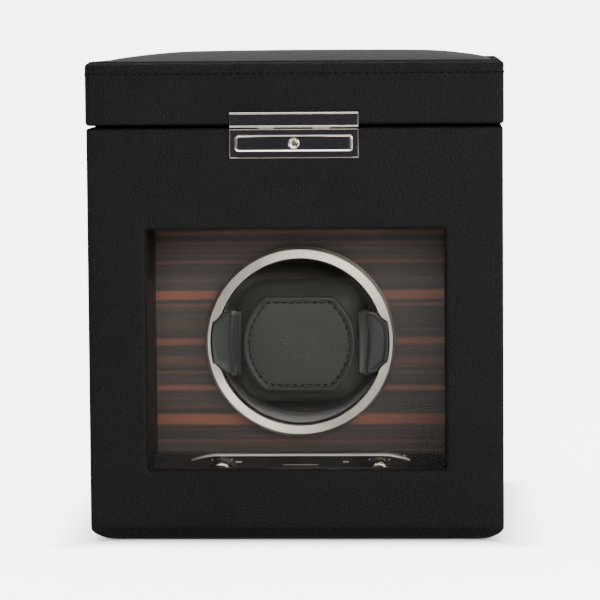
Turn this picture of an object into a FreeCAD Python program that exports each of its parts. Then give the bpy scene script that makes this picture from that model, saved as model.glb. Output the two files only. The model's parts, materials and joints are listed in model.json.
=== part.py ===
"""Watch winder box: leather-wrapped case, hinged storage lid, drop-front glazed door, driven drum.

Millimetres, +Z up, front of the case faces -Y. The origin is the centre of the underside.
"""
import FreeCAD
import Part
import math
import os

from FreeCAD import Vector

# ---- case ----
CASE_HALF_X = 102.5
FACE_Y = 107.0              # leather face, front (-) and back (+)
CASE_TOP = 205.4
LEATHER = 1.0
BOARD = 9.0
PAD_TOP = 1.2
BASE_THICK = 12.0
CORNER_R = 9.0              # long bottom edges at left and right
CARCASS_FRONT = -90.6       # front edge of the fixed carcass, behind the door

# ---- winder bay ----
BAY_HALF_X = 74.0
BAY_FLOOR = 18.0
BAY_CEILING = 158.0
FASCIA_Y = -47.0
FASCIA_THICK = 6.0
PLINTH_TOP = 38.0
PLINTH_Y = -58.0

# ---- storage compartment ----
SHELF_LOW = 160.0
SHELF_HIGH = 168.0
DIVIDER_Y = 20.0
DIVIDER_THICK = 5.0

# ---- door ----
DOOR_THICK = 16.0
DOOR_BOTTOM = 0.8
WINDOW_HALF_X = 73.5
WINDOW_LOW = 36.0
WINDOW_HIGH = 155.0
GLASS_THICK = 3.0
GLASS_SETBACK = 5.0         # glass face behind the leather face
GLASS_LAP = 4.6             # glass edge beyond the window opening
DOOR_LINING = 0.8

# ---- lid ----
LID_HALF_X = 103.0
LID_LOW = 206.4
LID_RIM = 237.5
LID_CROWN = 242.7
LID_RAIL = 10.0
LID_BOARD_LOW = 231.0
LID_BOARD_GAP = 0.4         # between the lid board and the leather at the rim
LINING = 1.2                # suede on the storage floor and under the lid

# ---- clasp ----
CLASP_HALF_X = 31.75
HASP_LOW = 205.4
HASP_HIGH = 212.7
LOCK_LOW = 190.3
LOCK_HIGH = 204.6
PLATE_THICK = 1.2
FRAME_HALF_X = 29.05
FRAME_HALF_Z = 4.1
BAR_HALF_X = 27.2
BAR_HALF_Z = 2.8
BAR_Z = 197.6
CYLINDER_R = 2.75
TONGUE_X = 13.5
TONGUE_WIDTH = 8.0
TONGUE_LOW = 201.8
POCKET_TOP = 201.0         # top of the pocket for the lock case

# ---- drum and drive ----
DRUM_Z = 95.0
RING_FRONT = -57.0
RING_OUTER_R = 48.2
RING_INNER_R = 41.9
CUP_OUTER_R = 45.5
CUP_WALL = 3.0
CUP_FRONT = -50.0
CUP_BACK = 3.0
SHAFT_R = 4.0
GEAR_MODULE = 1.0
DRUM_TEETH = 60
PINION_TEETH = 12
GEAR_Y = 5.0
GEAR_THICK = 5.0
DRIVE_PLATE_Y = 14.0
DRIVE_PLATE_THICK = 6.0
MOTOR_R = 12.0
MOTOR_LENGTH = 34.0
MOTOR_SCREW_X = 8.5
MOTOR_SCREW_R = 1.2
SCREW_PLAY = 0.05
BEARING_R = 9.0

# ---- power inlet ----
JACK_X = -60.0
JACK_Z = 36.0
JACK_R = 5.5
JACK_FLANGE_R = 7.0
JACK_BACK = 86.0

# ---- cuff ----
PAD_HALF_X = 32.5
PAD_HALF_Z = 31.8
PAD_FRONT = -66.5
PAD_BACK = -20.0
CORE_HALF = 20.0
CORE_PLAY = 0.1
PAD_ROUND = 13.0
PATCH_HALF_X = 28.2
PATCH_HALF_Z = 23.7
PATCH_FLAT = 17.0
PATCH_THICK = 2.2
CUFF_BAR_R = 3.0
CUFF_BAR_Y = -40.0
WING_THICK = 2.6
WING_GAP = 0.4
WING_REACH = 45.5
WING_HALF_Z = 16.5

# ---- controls ----
KNOB_X = 40.0
KNOB_Z = 29.0
KNOB_R = 6.6
CONSOLE_HALF_X = 55.0
CONSOLE_THICK = 3.0
CONSOLE_DROP = 3.0
CONSOLE_RUN = 12.0
KNOB_STEM_R = 2.0
KNOB_HOLE_R = 2.6
SWITCH_DEPTH = 9.0

# ---- hinges ----
LID_HINGE_X = 55.0
LID_HINGE_LENGTH = 30.0
LID_HINGE_Y = 108.0
LID_HINGE_Z = 205.9
LID_KNUCKLE_R = 2.0
LID_PIN_R = 1.2
DOOR_HINGE_X = 80.0
DOOR_PIN_R = 2.0
DOOR_ARM_HALF = 4.7
DOOR_ARM_R = 3.8
DOOR_ARM_PLAY = 0.5
KNUCKLE_SPAN = 10.0
LEAF_THICK = 1.0
BODY_LEAF_LOW = 190.0
BODY_LEAF_HIGH = 203.5
LID_LEAF_LOW = 208.3
LID_LEAF_HIGH = 221.0
HINGE_PLAY = 0.05

X_AXIS = Vector(1, 0, 0)
Y_AXIS = Vector(0, 1, 0)
Z_AXIS = Vector(0, 0, 1)

DOOR_AXIS_Y = -FACE_Y + DOOR_THICK / 2
DOOR_AXIS_Z = DOOR_BOTTOM + DOOR_THICK / 2
DOOR_BACK = -FACE_Y + DOOR_THICK - DOOR_LINING
GLASS_Y = -FACE_Y + GLASS_SETBACK
BASE_LOW = PAD_TOP + LEATHER
BASE_HIGH = BASE_LOW + BASE_THICK
LID_BOARD_HIGH = LID_RIM - LEATHER - LID_BOARD_GAP
PINION_Z = DRUM_Z - GEAR_MODULE * (DRUM_TEETH + PINION_TEETH) / 2


def box(x0, x1, y0, y1, z0, z1):
    return Part.makeBox(x1 - x0, y1 - y0, z1 - z0, Vector(x0, y0, z0))


def rod_x(radius, x0, x1, y, z):
    return Part.makeCylinder(radius, x1 - x0, Vector(x0, y, z), X_AXIS)


def rod_y(radius, y0, y1, x, z):
    return Part.makeCylinder(radius, y1 - y0, Vector(x, y0, z), Y_AXIS)


def tube_y(outer, inner, y0, y1, x, z):
    return rod_y(outer, y0, y1, x, z).cut(rod_y(inner, y0 - 1, y1 + 1, x, z))


def mirrored_pair(shape):
    """The shape and its mirror image across the middle of the case."""
    return Part.makeCompound([shape, shape.mirror(Vector(0, 0, 0), X_AXIS)])


def edges_along(shape, axis, test):
    """Straight edges parallel to an axis whose middle passes the test."""
    chosen = []
    for edge in shape.Edges:
        if not isinstance(edge.Curve, Part.Line) and not isinstance(edge.Curve, Part.LineSegment):
            continue
        ends = edge.Vertexes[-1].Point.sub(edge.Vertexes[0].Point)
        if ends.Length > 0 and abs(abs(ends.normalize().dot(axis)) - 1) < 1e-6:
            if test(edge.CenterOfMass):
                chosen.append(edge)
    return chosen


def rounded_slab(half_x, y0, y1, z0, z1, radius):
    """A box with its two long bottom edges rounded."""
    slab = box(-half_x, half_x, y0, y1, z0, z1)
    return slab.makeFillet(radius, edges_along(slab, Y_AXIS, lambda p: p.z < z0 + 0.01))


def export(shape, node):
    solids = shape.Solids
    if not solids:
        raise ValueError(node + " has no solid")
    if not shape.isValid():
        raise ValueError(node + " is not valid")
    kept = solids[0] if len(solids) == 1 else Part.makeCompound(solids)
    kept.exportStep("parts/" + node + ".step")


def cut_all(shape, cutters):
    for cutter in cutters:
        shape = shape.cut(cutter)
    return shape


def knuckle_gains():
    """Round recesses that let the lid hinge knuckles sink into the back of case and lid."""
    reach = LID_HINGE_LENGTH / 2 + 1.0
    gain = rod_x(LID_KNUCKLE_R + 0.35, LID_HINGE_X - reach, LID_HINGE_X + reach, LID_HINGE_Y, LID_HINGE_Z)
    return mirrored_pair(gain).Solids


# ---------------- case carcass ----------------

def base_pad():
    inset = CORNER_R + 2.0
    return box(-CASE_HALF_X + inset, CASE_HALF_X - inset, -84, 100, 0, PAD_TOP)


def hinge_arm_pocket():
    """Space in the base board for one door hinge arm, at the right."""
    return box(DOOR_HINGE_X - DOOR_ARM_HALF, DOOR_HINGE_X + DOOR_ARM_HALF, CARCASS_FRONT, CARCASS_FRONT + 14,
               DOOR_AXIS_Z - DOOR_ARM_R, DOOR_AXIS_Z + DOOR_ARM_R)


def base_board():
    half = CASE_HALF_X - LEATHER
    board = rounded_slab(half, CARCASS_FRONT, FACE_Y - LEATHER, BASE_LOW, BASE_HIGH, CORNER_R - LEATHER)
    return cut_all(board, mirrored_pair(hinge_arm_pocket()).Solids)


def side_boards():
    outer = CASE_HALF_X - LEATHER
    return mirrored_pair(box(outer - BOARD, outer, CARCASS_FRONT, FACE_Y - LEATHER - BOARD,
                             BASE_HIGH, CASE_TOP))


def jack_hole():
    return rod_y(JACK_R, 90, 110, JACK_X, JACK_Z)


def back_board():
    half = CASE_HALF_X - LEATHER
    board = box(-half, half, FACE_Y - LEATHER - BOARD, FACE_Y - LEATHER, BASE_HIGH, CASE_TOP)
    return cut_all(board, knuckle_gains() + [jack_hole()])


def shelf_board():
    half = CASE_HALF_X - LEATHER - BOARD
    return box(-half, half, CARCASS_FRONT, FACE_Y - LEATHER - BOARD, SHELF_LOW, SHELF_HIGH)


def storage_front_board():
    half = CASE_HALF_X - LEATHER - BOARD
    return box(-half, half, CARCASS_FRONT, CARCASS_FRONT + BOARD, SHELF_HIGH, CASE_TOP)


def body_leather_wrap():
    outer = rounded_slab(CASE_HALF_X, CARCASS_FRONT, FACE_Y, PAD_TOP, CASE_TOP, CORNER_R)
    inner = rounded_slab(CASE_HALF_X - LEATHER, CARCASS_FRONT - 1, FACE_Y - LEATHER, BASE_LOW,
                         CASE_TOP + 1, CORNER_R - LEATHER)
    return cut_all(outer.cut(inner), knuckle_gains() + [jack_hole()])


# ---------------- winder bay ----------------

def bay_walls():
    outer = CASE_HALF_X - LEATHER - BOARD
    return mirrored_pair(box(BAY_HALF_X, outer, CARCASS_FRONT, DRIVE_PLATE_Y, BASE_HIGH, SHELF_LOW))


def bay_floor_liner():
    return box(-BAY_HALF_X, BAY_HALF_X, CARCASS_FRONT, FASCIA_Y, BASE_HIGH, BAY_FLOOR)


def bay_ceiling_liner():
    return box(-BAY_HALF_X, BAY_HALF_X, CARCASS_FRONT, DRIVE_PLATE_Y, BAY_CEILING, SHELF_LOW)


def fascia_panel():
    panel = box(-BAY_HALF_X, BAY_HALF_X, FASCIA_Y, FASCIA_Y + FASCIA_THICK, PLINTH_TOP, BAY_CEILING)
    return panel.cut(rod_y(CUP_OUTER_R + 0.8, FASCIA_Y - 1, FASCIA_Y + 10, 0, DRUM_Z))


# ---------------- control console ----------------

def knob_holes(shape, radius):
    for x in (-KNOB_X, KNOB_X):
        shape = shape.cut(rod_y(radius, -80, -30, x, KNOB_Z))
    return shape


def control_plinth():
    plinth = box(-BAY_HALF_X, BAY_HALF_X, PLINTH_Y, FASCIA_Y, BAY_FLOOR, PLINTH_TOP)
    back = box(-BAY_HALF_X, BAY_HALF_X, FASCIA_Y, FASCIA_Y + FASCIA_THICK, BASE_HIGH, PLINTH_TOP)
    return knob_holes(plinth.fuse(back).removeSplitter(), KNOB_HOLE_R)


def console_outline(grow, low):
    """Front outline of the console: flat top that curves down at both ends."""
    half = CONSOLE_HALF_X + grow
    top = PLINTH_TOP + grow
    left_low = Vector(-half, 0, low)
    left_top = Vector(-half, 0, top - CONSOLE_DROP)
    left_mid = Vector(-half + CONSOLE_RUN * 0.42, 0, top - CONSOLE_DROP * 0.30)
    left_flat = Vector(-half + CONSOLE_RUN, 0, top)
    flip = [Vector(-p.x, 0, p.z) for p in (left_flat, left_mid, left_top, left_low)]
    edges = [
        Part.LineSegment(left_low, left_top).toShape(),
        Part.Arc(left_top, left_mid, left_flat).toShape(),
        Part.LineSegment(left_flat, flip[0]).toShape(),
        Part.Arc(flip[0], flip[1], flip[2]).toShape(),
        Part.LineSegment(flip[2], flip[3]).toShape(),
        Part.LineSegment(flip[3], left_low).toShape(),
    ]
    return Part.Face(Part.Wire(edges))


def control_fascia():
    face = console_outline(-0.9, BAY_FLOOR + 2)
    face.translate(Vector(0, PLINTH_Y - CONSOLE_THICK, 0))
    return knob_holes(face.extrude(Vector(0, CONSOLE_THICK, 0)), KNOB_HOLE_R)


def console_trim():
    """Bright lip that follows the top of the console."""
    outer = console_outline(0.5, PLINTH_TOP - 3.4)
    inner = console_outline(-0.8, BAY_FLOOR)
    outer.translate(Vector(0, PLINTH_Y - 5, 0))
    inner.translate(Vector(0, PLINTH_Y - 6, 0))
    return outer.extrude(Vector(0, 5, 0)).cut(inner.extrude(Vector(0, 8, 0)))


def rotary_switches():
    y0 = FASCIA_Y + FASCIA_THICK
    body = box(KNOB_X - 6, KNOB_X + 6, y0, y0 + SWITCH_DEPTH, KNOB_Z - 6, KNOB_Z + 6)
    return mirrored_pair(body.cut(rod_y(KNOB_STEM_R + HINGE_PLAY, y0 - 1, y0 + 6, KNOB_X, KNOB_Z)))


def control_pcb():
    y0 = FASCIA_Y + FASCIA_THICK + SWITCH_DEPTH
    return box(-52, 52, y0, y0 + 1.6, 20, 37)


def knob(x):
    back = PLINTH_Y - 3.3
    skirt = rod_y(KNOB_R, back - 4.5, back, x, KNOB_Z)
    grip = rod_y(KNOB_R - 1.9, back - 11.5, back - 4.5, x, KNOB_Z)
    stem = rod_y(KNOB_STEM_R, back, FASCIA_Y + FASCIA_THICK + 5.5, x, KNOB_Z)
    pointer = box(x - 0.5, x + 0.5, back - 12.0, back - 8, KNOB_Z, KNOB_Z + 4.0)
    return skirt.fuse([grip, stem, pointer])


# ---------------- drive ----------------

def involute_gear(teeth, y0, y1, z, turn):
    """Spur gear about the Y direction with involute flanks, thinned for backlash."""
    pitch_r = GEAR_MODULE * teeth / 2
    base_r = pitch_r * math.cos(math.radians(20))
    tip_r = pitch_r + 0.9 * GEAR_MODULE
    root_r = pitch_r - 1.2 * GEAR_MODULE
    half_pitch_angle = math.pi / (2 * teeth) - 0.10 * GEAR_MODULE / pitch_r

    def spread(radius):
        """Involute function at a radius, zero on the base circle."""
        pressure = math.acos(min(1.0, base_r / max(radius, base_r)))
        return math.tan(pressure) - pressure

    start_r = max(root_r, base_r)
    radii = [start_r + (tip_r - start_r) * k / 4 for k in range(5)]
    points = []
    for tooth in range(teeth):
        middle = 2 * math.pi * tooth / teeth + turn
        flank = [(radius, half_pitch_angle + spread(pitch_r) - spread(radius)) for radius in radii]
        flank.insert(0, (root_r, flank[0][1]))
        for radius, angle in flank:
            points.append((radius, middle - angle))
        for radius, angle in reversed(flank):
            points.append((radius, middle + angle))
    corners = [Vector(r * math.sin(a), y0, z + r * math.cos(a)) for r, a in points]
    distinct = [corners[0]]
    for corner in corners[1:]:
        if corner.sub(distinct[-1]).Length > 1e-4:
            distinct.append(corner)
    face = Part.Face(Part.makePolygon(distinct + [distinct[0]]))
    return face.extrude(Vector(0, y1 - y0, 0))


def drive_plate():
    half = CASE_HALF_X - LEATHER - BOARD
    y0 = DRIVE_PLATE_Y
    y1 = y0 + DRIVE_PLATE_THICK
    plate = box(-half, half, y0, y1, BASE_HIGH, SHELF_LOW)
    plate = plate.cut(rod_y(BEARING_R, y0 - 1, y1 + 1, 0, DRUM_Z))
    plate = plate.cut(rod_y(3.5, y0 - 1, y1 + 1, 0, PINION_Z))
    for x in (-MOTOR_SCREW_X, MOTOR_SCREW_X):
        plate = plate.cut(rod_y(MOTOR_SCREW_R + SCREW_PLAY, y0 - 1, y1 + 1, x, PINION_Z))
    return plate


def drum_bearing():
    flange = tube_y(11.0, SHAFT_R + HINGE_PLAY, DRIVE_PLATE_Y - 1.5, DRIVE_PLATE_Y, 0, DRUM_Z)
    sleeve = tube_y(BEARING_R - 0.03, SHAFT_R + HINGE_PLAY, DRIVE_PLATE_Y, DRIVE_PLATE_Y + 8, 0, DRUM_Z)
    return flange.fuse(sleeve).removeSplitter()


def gear_motor():
    y0 = DRIVE_PLATE_Y + DRIVE_PLATE_THICK
    gearbox = rod_y(MOTOR_R, y0, y0 + 14, 0, PINION_Z)
    can = rod_y(MOTOR_R - 1.2, y0 + 14, y0 + MOTOR_LENGTH, 0, PINION_Z)
    tail = rod_y(3.5, y0 + MOTOR_LENGTH, y0 + MOTOR_LENGTH + 2, 0, PINION_Z)
    motor = gearbox.fuse([can, tail]).cut(rod_y(1.5 + HINGE_PLAY, y0 - 1, y0 + 5, 0, PINION_Z))
    for x in (-MOTOR_SCREW_X, MOTOR_SCREW_X):
        motor = motor.cut(rod_y(MOTOR_SCREW_R + SCREW_PLAY, y0 - 1, y0 + 3, x, PINION_Z))
    return motor


def motor_screws():
    y0 = DRIVE_PLATE_Y
    screws = []
    for x in (-MOTOR_SCREW_X, MOTOR_SCREW_X):
        shank = rod_y(MOTOR_SCREW_R, y0, y0 + DRIVE_PLATE_THICK + 2.5, x, PINION_Z)
        head = rod_y(2.2, y0 - 1.4, y0, x, PINION_Z)
        screws.append(head.fuse(shank).removeSplitter())
    return Part.makeCompound(screws)


def drive_pinion():
    y1 = GEAR_Y + GEAR_THICK
    gear = involute_gear(PINION_TEETH, GEAR_Y, y1, PINION_Z, math.pi / PINION_TEETH)
    hub = rod_y(3.0, y1, y1 + 1.5, 0, PINION_Z)
    shaft = rod_y(1.5, GEAR_Y - 0.5, DRIVE_PLATE_Y + DRIVE_PLATE_THICK + 4.5, 0, PINION_Z)
    return gear.fuse([hub, shaft])


def power_jack():
    flange = rod_y(JACK_FLANGE_R, FACE_Y, FACE_Y + 1.5, JACK_X, JACK_Z)
    barrel = rod_y(JACK_R - 0.05, JACK_BACK, FACE_Y, JACK_X, JACK_Z)
    socket = rod_y(3.2, JACK_BACK + 2, FACE_Y + 3, JACK_X, JACK_Z)
    return barrel.fuse(flange).removeSplitter().cut(socket)


def jack_pin():
    return rod_y(1.0, JACK_BACK + 2, FACE_Y - 1, JACK_X, JACK_Z)


def jack_nut():
    return tube_y(8.0, JACK_R, 94.6, 97, JACK_X, JACK_Z)


# ---------------- drum ----------------

def drum_cup():
    cup = rod_y(CUP_OUTER_R, CUP_FRONT, CUP_BACK, 0, DRUM_Z)
    hollow = rod_y(CUP_OUTER_R - CUP_WALL, CUP_FRONT - 1, CUP_BACK - CUP_WALL, 0, DRUM_Z)
    return cup.cut(hollow)


def drum_ring():
    """Bright bezel: bevelled outside, chamfered inside, with a skirt over the cup."""
    joint = CUP_FRONT - 0.05
    skirt_back = FASCIA_Y - 0.4
    points = [
        Vector(RING_INNER_R, joint, 0),
        Vector(RING_INNER_R, RING_FRONT + 1.0, 0),
        Vector(RING_INNER_R + 0.8, RING_FRONT, 0),
        Vector(RING_OUTER_R - 1.6, RING_FRONT, 0),
        Vector(RING_OUTER_R, RING_FRONT + 2.0, 0),
        Vector(RING_OUTER_R, skirt_back, 0),
        Vector(CUP_OUTER_R + 0.05, skirt_back, 0),
        Vector(CUP_OUTER_R + 0.05, joint, 0),
    ]
    section = Part.Face(Part.makePolygon(points + [points[0]]))
    ring = section.revolve(Vector(0, 0, 0), Y_AXIS, 360)
    ring.translate(Vector(0, 0, DRUM_Z))
    return ring


def drum_gear():
    gear = involute_gear(DRUM_TEETH, GEAR_Y, GEAR_Y + GEAR_THICK, DRUM_Z, 0)
    gear = gear.fuse(rod_y(BEARING_R, CUP_BACK, GEAR_Y, 0, DRUM_Z))
    return gear.cut(rod_y(SHAFT_R + 0.03, CUP_BACK - 1, GEAR_Y + 10, 0, DRUM_Z))


def drum_shaft():
    shaft = rod_y(SHAFT_R, CUP_BACK, DRIVE_PLATE_Y + 16, 0, DRUM_Z)
    collar = rod_y(6.5, DRIVE_PLATE_Y + 8.5, DRIVE_PLATE_Y + 12, 0, DRUM_Z)
    return shaft.fuse(collar)


# ---------------- cuff ----------------

def cuff_core():
    core = box(-CORE_HALF, CORE_HALF, PAD_FRONT + 8, PAD_BACK + 6, DRUM_Z - CORE_HALF, DRUM_Z + CORE_HALF)
    return core.cut(rod_x(CUFF_BAR_R + HINGE_PLAY, -60, 60, CUFF_BAR_Y, DRUM_Z))


def cuff_pad():
    pad = box(-PAD_HALF_X, PAD_HALF_X, PAD_FRONT, PAD_BACK, DRUM_Z - PAD_HALF_Z, DRUM_Z + PAD_HALF_Z)
    pad = pad.makeFillet(PAD_ROUND, pad.Edges)
    play = CORE_HALF + CORE_PLAY
    hollow = box(-play, play, PAD_FRONT + 8 - CORE_PLAY, PAD_BACK + 1, DRUM_Z - play, DRUM_Z + play)
    return pad.cut(hollow).cut(rod_x(CUFF_BAR_R + HINGE_PLAY, -60, 60, CUFF_BAR_Y, DRUM_Z))


def cuff_patch():
    """Stitched leather patch: flat top and bottom, bowed sides."""
    flat = PATCH_FLAT
    low = DRUM_Z - PATCH_HALF_Z
    high = DRUM_Z + PATCH_HALF_Z
    edges = [
        Part.LineSegment(Vector(-flat, 0, high), Vector(flat, 0, high)).toShape(),
        Part.Arc(Vector(flat, 0, high), Vector(PATCH_HALF_X, 0, DRUM_Z), Vector(flat, 0, low)).toShape(),
        Part.LineSegment(Vector(flat, 0, low), Vector(-flat, 0, low)).toShape(),
        Part.Arc(Vector(-flat, 0, low), Vector(-PATCH_HALF_X, 0, DRUM_Z), Vector(-flat, 0, high)).toShape(),
    ]
    face = Part.Face(Part.Wire(edges))
    face.translate(Vector(0, PAD_FRONT - PATCH_THICK, 0))
    return face.extrude(Vector(0, PATCH_THICK, 0))


def cuff_end():
    """Right end cap: side plate beside the pad, with a wing that laps the ring."""
    inner = PAD_HALF_X + 0.2
    plate = box(inner, inner + 2.4, PAD_FRONT + 1, PAD_BACK - 3, DRUM_Z - WING_HALF_Z, DRUM_Z + WING_HALF_Z)
    back = RING_FRONT - WING_GAP
    wing = box(inner, WING_REACH, back - WING_THICK, back, DRUM_Z - WING_HALF_Z, DRUM_Z + WING_HALF_Z)
    wing = wing.makeFillet(3.0, edges_along(wing, Y_AXIS, lambda p: p.x > WING_REACH - 0.1))
    return plate.fuse(wing).removeSplitter()


def cuff_ends():
    right = cuff_end()
    left = right.mirror(Vector(0, 0, 0), X_AXIS)
    bar = rod_x(CUFF_BAR_R, -PAD_HALF_X - 1, PAD_HALF_X + 1, CUFF_BAR_Y, DRUM_Z)
    return right.fuse([left, bar]).removeSplitter()


# ---------------- door ----------------

def tongue_notches():
    """Notches in the top of the door for the two tongues of the hasp, open to the back."""
    half = TONGUE_WIDTH / 2 + 0.6
    return mirrored_pair(box(TONGUE_X - half, TONGUE_X + half, -FACE_Y - 0.01, -FACE_Y + DOOR_THICK + 1,
                             TONGUE_LOW - 0.8, CASE_TOP + 1)).Solids


def hinge_slots():
    """Slots in the bottom of the door around the hinge arms, wide enough for the whole swing."""
    half = DOOR_ARM_HALF + DOOR_ARM_PLAY
    clear = DOOR_ARM_R + 0.6
    x0 = DOOR_HINGE_X - half
    x1 = DOOR_HINGE_X + half
    eye = rod_x(clear, x0, x1, DOOR_AXIS_Y, DOOR_AXIS_Z)
    rear = box(x0, x1, DOOR_AXIS_Y, DOOR_AXIS_Y + 10, -1, DOOR_AXIS_Z + clear)
    under = box(x0, x1, DOOR_AXIS_Y - clear, DOOR_AXIS_Y, -1, DOOR_AXIS_Z)
    return mirrored_pair(eye.fuse([rear, under]).removeSplitter()).Solids


def door_slab(grow):
    """Door blank with a half-round bottom edge; grow is how far it stands inside the leather."""
    half = CASE_HALF_X - grow
    front = -FACE_Y + grow
    back = DOOR_BACK
    radius = DOOR_THICK / 2 - grow
    upper = box(-half, half, front, back, DOOR_AXIS_Z, CASE_TOP - grow)
    lower = rod_x(radius, -half, half, DOOR_AXIS_Y, DOOR_AXIS_Z)
    lower = lower.common(box(-half, half, front, back, 0, DOOR_AXIS_Z))
    slab = upper.fuse(lower).removeSplitter()
    corners = rounded_slab(half, front - 1, back + 1, DOOR_BOTTOM + grow, 400, CORNER_R - grow)
    return slab.common(corners)


def lock_pocket():
    return box(-CLASP_HALF_X + 0.5, CLASP_HALF_X - 0.5, -FACE_Y - 1, -98, LOCK_LOW + 0.8, POCKET_TOP)


def door_cores():
    """The four boards of the door frame, cut from one blank."""
    blank = door_slab(LEATHER)
    blank = cut_all(blank, tongue_notches() + hinge_slots())
    opening = box(-WINDOW_HALF_X - 1, WINDOW_HALF_X + 1, -200, 0, WINDOW_LOW - 1, WINDOW_HIGH + 1)
    rebate = box(-WINDOW_HALF_X - 5, WINDOW_HALF_X + 5, GLASS_Y - 0.2, 0, WINDOW_LOW - 5,
                 WINDOW_HIGH + 5)
    blank = blank.cut(opening).cut(rebate).cut(lock_pocket())
    for x in (-DOOR_HINGE_X, DOOR_HINGE_X):
        blank = blank.cut(rod_x(DOOR_PIN_R + 0.03, x - 9.5, x + 9.5, DOOR_AXIS_Y, DOOR_AXIS_Z))
    return blank


def door_piece(blank, x0, x1, z0, z1):
    return blank.common(box(x0, x1, -200, 0, z0, z1))


def door_leather_cover():
    outer = door_slab(0)
    inner = door_slab(LEATHER)
    cover = outer.cut(inner)
    opening = box(-WINDOW_HALF_X, WINDOW_HALF_X, -200, 0, WINDOW_LOW, WINDOW_HIGH)
    reveal = box(-WINDOW_HALF_X - 1, WINDOW_HALF_X + 1, -FACE_Y, -FACE_Y + 4.8, WINDOW_LOW - 1,
                 WINDOW_HIGH + 1)
    cover = cover.fuse(reveal).removeSplitter().cut(opening).cut(lock_pocket())
    return cut_all(cover, tongue_notches() + hinge_slots())


def door_lining():
    """Suede over the back of the door frame."""
    half = CASE_HALF_X - 2
    lining = box(-half, half, DOOR_BACK, DOOR_BACK + DOOR_LINING, BAY_FLOOR + 4, CASE_TOP - 2)
    lining = lining.cut(box(-WINDOW_HALF_X - 2, WINDOW_HALF_X + 2, -200, 0, WINDOW_LOW - 2, WINDOW_HIGH + 2))
    return cut_all(lining, tongue_notches())


def window_glass():
    return box(-WINDOW_HALF_X - GLASS_LAP, WINDOW_HALF_X + GLASS_LAP, GLASS_Y, GLASS_Y + GLASS_THICK,
               WINDOW_LOW - GLASS_LAP, WINDOW_HIGH + GLASS_LAP)


def glass_bead():
    y0 = GLASS_Y + GLASS_THICK
    outer = box(-WINDOW_HALF_X - 4.8, WINDOW_HALF_X + 4.8, y0, DOOR_BACK, WINDOW_LOW - 4.8, WINDOW_HIGH + 4.8)
    return outer.cut(box(-WINDOW_HALF_X - 0.5, WINDOW_HALF_X + 0.5, y0 - 1, 0, WINDOW_LOW - 0.5,
                         WINDOW_HIGH + 0.5))


def door_hinge_arms():
    arm = hinge_arm_pocket()
    reach = box(DOOR_HINGE_X - DOOR_ARM_HALF, DOOR_HINGE_X + DOOR_ARM_HALF, DOOR_AXIS_Y, CARCASS_FRONT,
                DOOR_AXIS_Z - DOOR_ARM_R, DOOR_AXIS_Z + DOOR_ARM_R)
    eye = rod_x(DOOR_ARM_R, DOOR_HINGE_X - DOOR_ARM_HALF, DOOR_HINGE_X + DOOR_ARM_HALF,
                DOOR_AXIS_Y, DOOR_AXIS_Z)
    arm = arm.fuse([reach, eye]).removeSplitter()
    bore = rod_x(DOOR_PIN_R + HINGE_PLAY, 0, 200, DOOR_AXIS_Y, DOOR_AXIS_Z)
    return mirrored_pair(arm.cut(bore))


def door_hinge_pins():
    return mirrored_pair(rod_x(DOOR_PIN_R, DOOR_HINGE_X - 9.3, DOOR_HINGE_X + 9.3, DOOR_AXIS_Y, DOOR_AXIS_Z))


# ---------------- clasp ----------------

def lock_plate():
    front = -FACE_Y - PLATE_THICK
    plate = box(-CLASP_HALF_X, CLASP_HALF_X, front, -FACE_Y, LOCK_LOW, LOCK_HIGH)
    plate = plate.makeFillet(0.35, edges_along(plate, X_AXIS, lambda p: p.y < front + 0.01))
    frame = box(-FRAME_HALF_X, FRAME_HALF_X, front - 1.0, front, BAR_Z - FRAME_HALF_Z, BAR_Z + FRAME_HALF_Z)
    frame = frame.makeFillet(1.8, edges_along(frame, Y_AXIS, lambda p: True))
    hole = box(-BAR_HALF_X - 0.2, BAR_HALF_X + 0.2, -200, 0, BAR_Z - BAR_HALF_Z - 0.2, BAR_Z + BAR_HALF_Z + 0.2)
    return plate.fuse(frame).removeSplitter().cut(hole)


def lock_case():
    outer = box(-CLASP_HALF_X + 0.7, CLASP_HALF_X - 0.7, -FACE_Y, -98.2, LOCK_LOW + 1.0, POCKET_TOP - 0.1)
    hollow = box(-BAR_HALF_X - 0.4, BAR_HALF_X + 0.4, -FACE_Y - 1, -99.6, LOCK_LOW + 2.4, POCKET_TOP + 1)
    return outer.cut(hollow)


def push_bar():
    front = -FACE_Y - 2.7
    bar = box(-BAR_HALF_X, BAR_HALF_X, front, -103.4, BAR_Z - BAR_HALF_Z, BAR_Z + BAR_HALF_Z)
    bar = bar.makeFillet(0.6, edges_along(bar, X_AXIS, lambda p: p.y < front + 0.01))
    return bar.cut(rod_y(CYLINDER_R + HINGE_PLAY, -120, -100, 0, BAR_Z))


def key_cylinder():
    front = -FACE_Y - 3.0
    plug = rod_y(CYLINDER_R, front, -103.4, 0, BAR_Z)
    return plug.cut(box(-0.4, 0.4, front - 1, -104.4, BAR_Z - 1.9, BAR_Z + 1.9))


def hasp_plate():
    front = -FACE_Y - PLATE_THICK
    plate = box(-CLASP_HALF_X, CLASP_HALF_X, front, -FACE_Y, HASP_LOW, HASP_HIGH)
    plate = plate.makeFillet(0.35, edges_along(plate, X_AXIS, lambda p: p.y < front + 0.01))
    half = TONGUE_WIDTH / 2
    pieces = []
    for x in (-TONGUE_X, TONGUE_X):
        pieces.append(box(x - half, x + half, -FACE_Y, -FACE_Y + 1.9, HASP_LOW + 0.1, LID_LOW - 0.1))
        pieces.append(box(x - half, x + half, -FACE_Y + 0.5, -FACE_Y + 1.9, TONGUE_LOW, LID_LOW - 0.1))
    return plate.fuse(pieces).removeSplitter()


# ---------------- lid ----------------

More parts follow.
